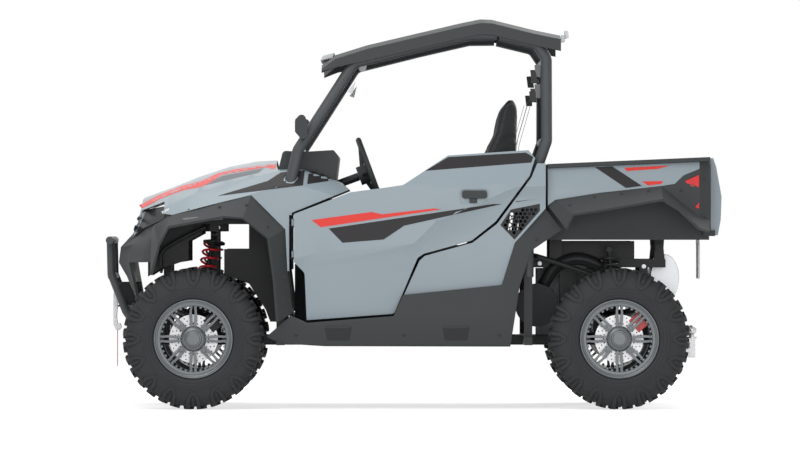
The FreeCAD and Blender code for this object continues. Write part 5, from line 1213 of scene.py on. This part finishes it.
def make_front():
    """Braces under the flares, a painted highlight on each headlamp lens, and the roof's pale front and rear
    lips, whose paleness is a painted highlight.
    """
    for hand, side in SIDES:
        bar(f"flare_brace_{hand}", FLARE_BRACE, 12, side, "trim_grey")
        bar(f"arch_tube_{hand}", ARCH_TUBE, 10, side)
        nose = surface_of("front_fascia", "headlamps", "front_fenders", "hood")
        decal(f"nose_band_{hand}", NOSE_BAND, nose, "panel_grey", "root", side, lift=0.0015, step=0.01)
        # Silver sliver on the headlamp lens: a painted highlight.
        decal(f"lamp_sliver_{hand}", HEADLAMP_HIGHLIGHT, nose, "headlamp_painted_highlight", "root", side, lift=0.002, step=0.008)
        low, high = sorted((PILLAR_TAB_INNER * side, PILLAR_TAB_OUTER * side))
        upright(f"pillar_tab_{hand}", PILLAR_TAB, low, high, "pale_trim_and_highlight", "root")
    # The roof's front lip, pale as a painted highlight.
    upright("roof_front_lip_highlight", ROOF_FRONT_LIP_HIGHLIGHT, -ROOF_FRONT_LIP_HALF, ROOF_FRONT_LIP_HALF, "pale_trim_and_highlight", "root", bevel=0.003)
    for hand, side in SIDES:
        low, high = sorted((ROOF_REAR_LIP_HIGHLIGHT_INNER * side, ROOF_REAR_LIP_HIGHLIGHT_OUTER * side))
        # The roof's rear lips, pale as a painted highlight.
        upright(f"roof_tail_{hand}", ROOF_REAR_LIP_HIGHLIGHT, low, high, "pale_trim_and_highlight", "root")


def make_rear():
    """Lamp insets, the tube in front of the rear wheel and hoses in the engine bay."""
    for hand, side in SIDES:
        lamp = surface_of("tail_lamps")
        decal(f"lamp_inset_{hand}", LAMP_INSET, lamp, "lens_deep", "bed", side, lift=0.0012)
        bar(f"rear_brace_{hand}", REAR_BRACE, 13, side)
        bar(f"air_hose_{hand}", AIR_HOSE, 30, side)


def bolt(build, x, y, z, side, radius=0.008, head=0.006):
    """A six sided bolt head on a washer, standing out to one side."""

    def turned(a, b, level):
        return (x + a, y + side * level, z + b)

    build.disc(radius * 1.35, -0.002, 0.0015, 20, turned)
    build.disc(radius, 0.0, head, 6, turned)


def make_bolts():
    """Fasteners on the frame, the cage feet and the flares."""
    for hand, side in SIDES:
        for name, body, places, trees in (
            ("flare_bolts", "root", FLARE_BOLTS, surface_of("front_flares")),
            ("tail_bolts", "bed", TAIL_BOLTS, surface_of("bed_flares")),
            ("rocker_bolts", "root", ROCKER_BOLTS, surface_of("rockers")),
        ):
            heads = Build()
            for x, z in places:
                y = cast(trees, x * MM, z * MM, side)
                if y is not None:
                    bolt(heads, x * MM, y, z * MM, side, radius=0.0065, head=0.003)
            if heads.verts:
                piece(f"{name}_{hand}", heads, "frame_black", body, bevel=0.0006)
        bright = Build()
        for x, y, z in FRAME_BOLTS:
            bolt(bright, x * MM, y * MM * side, z * MM, side)
        piece(f"frame_bolts_{hand}", bright, "steel", "root", bevel=0.0006)


def make_bed_ribs():
    """Shallow ribs along the cargo floor."""
    ribs = Build()
    for k in range(-5, 6):
        low = RIB_PITCH * k - RIB_HALF
        high = RIB_PITCH * k + RIB_HALF
        outline = [(RIB_REAR_X, low), (RIB_FRONT_X, low), (RIB_FRONT_X, high), (RIB_REAR_X, high)]
        ribs.prism(outline, BED_FLOOR_Z - 0.001, BED_FLOOR_Z + 0.005, lambda a, b, level: (a, b, level))
    piece("bed_ribs", ribs, "trim_dark", "bed", bevel=0.002)


make_camera()
make_strap()
make_world()
make_lights()
make_floor()
place_seats()
dress_cad()
make_wheels()
make_belts()
make_graphics()
make_handles()
make_front()
make_rear()
make_bolts()
make_bed_ribs()
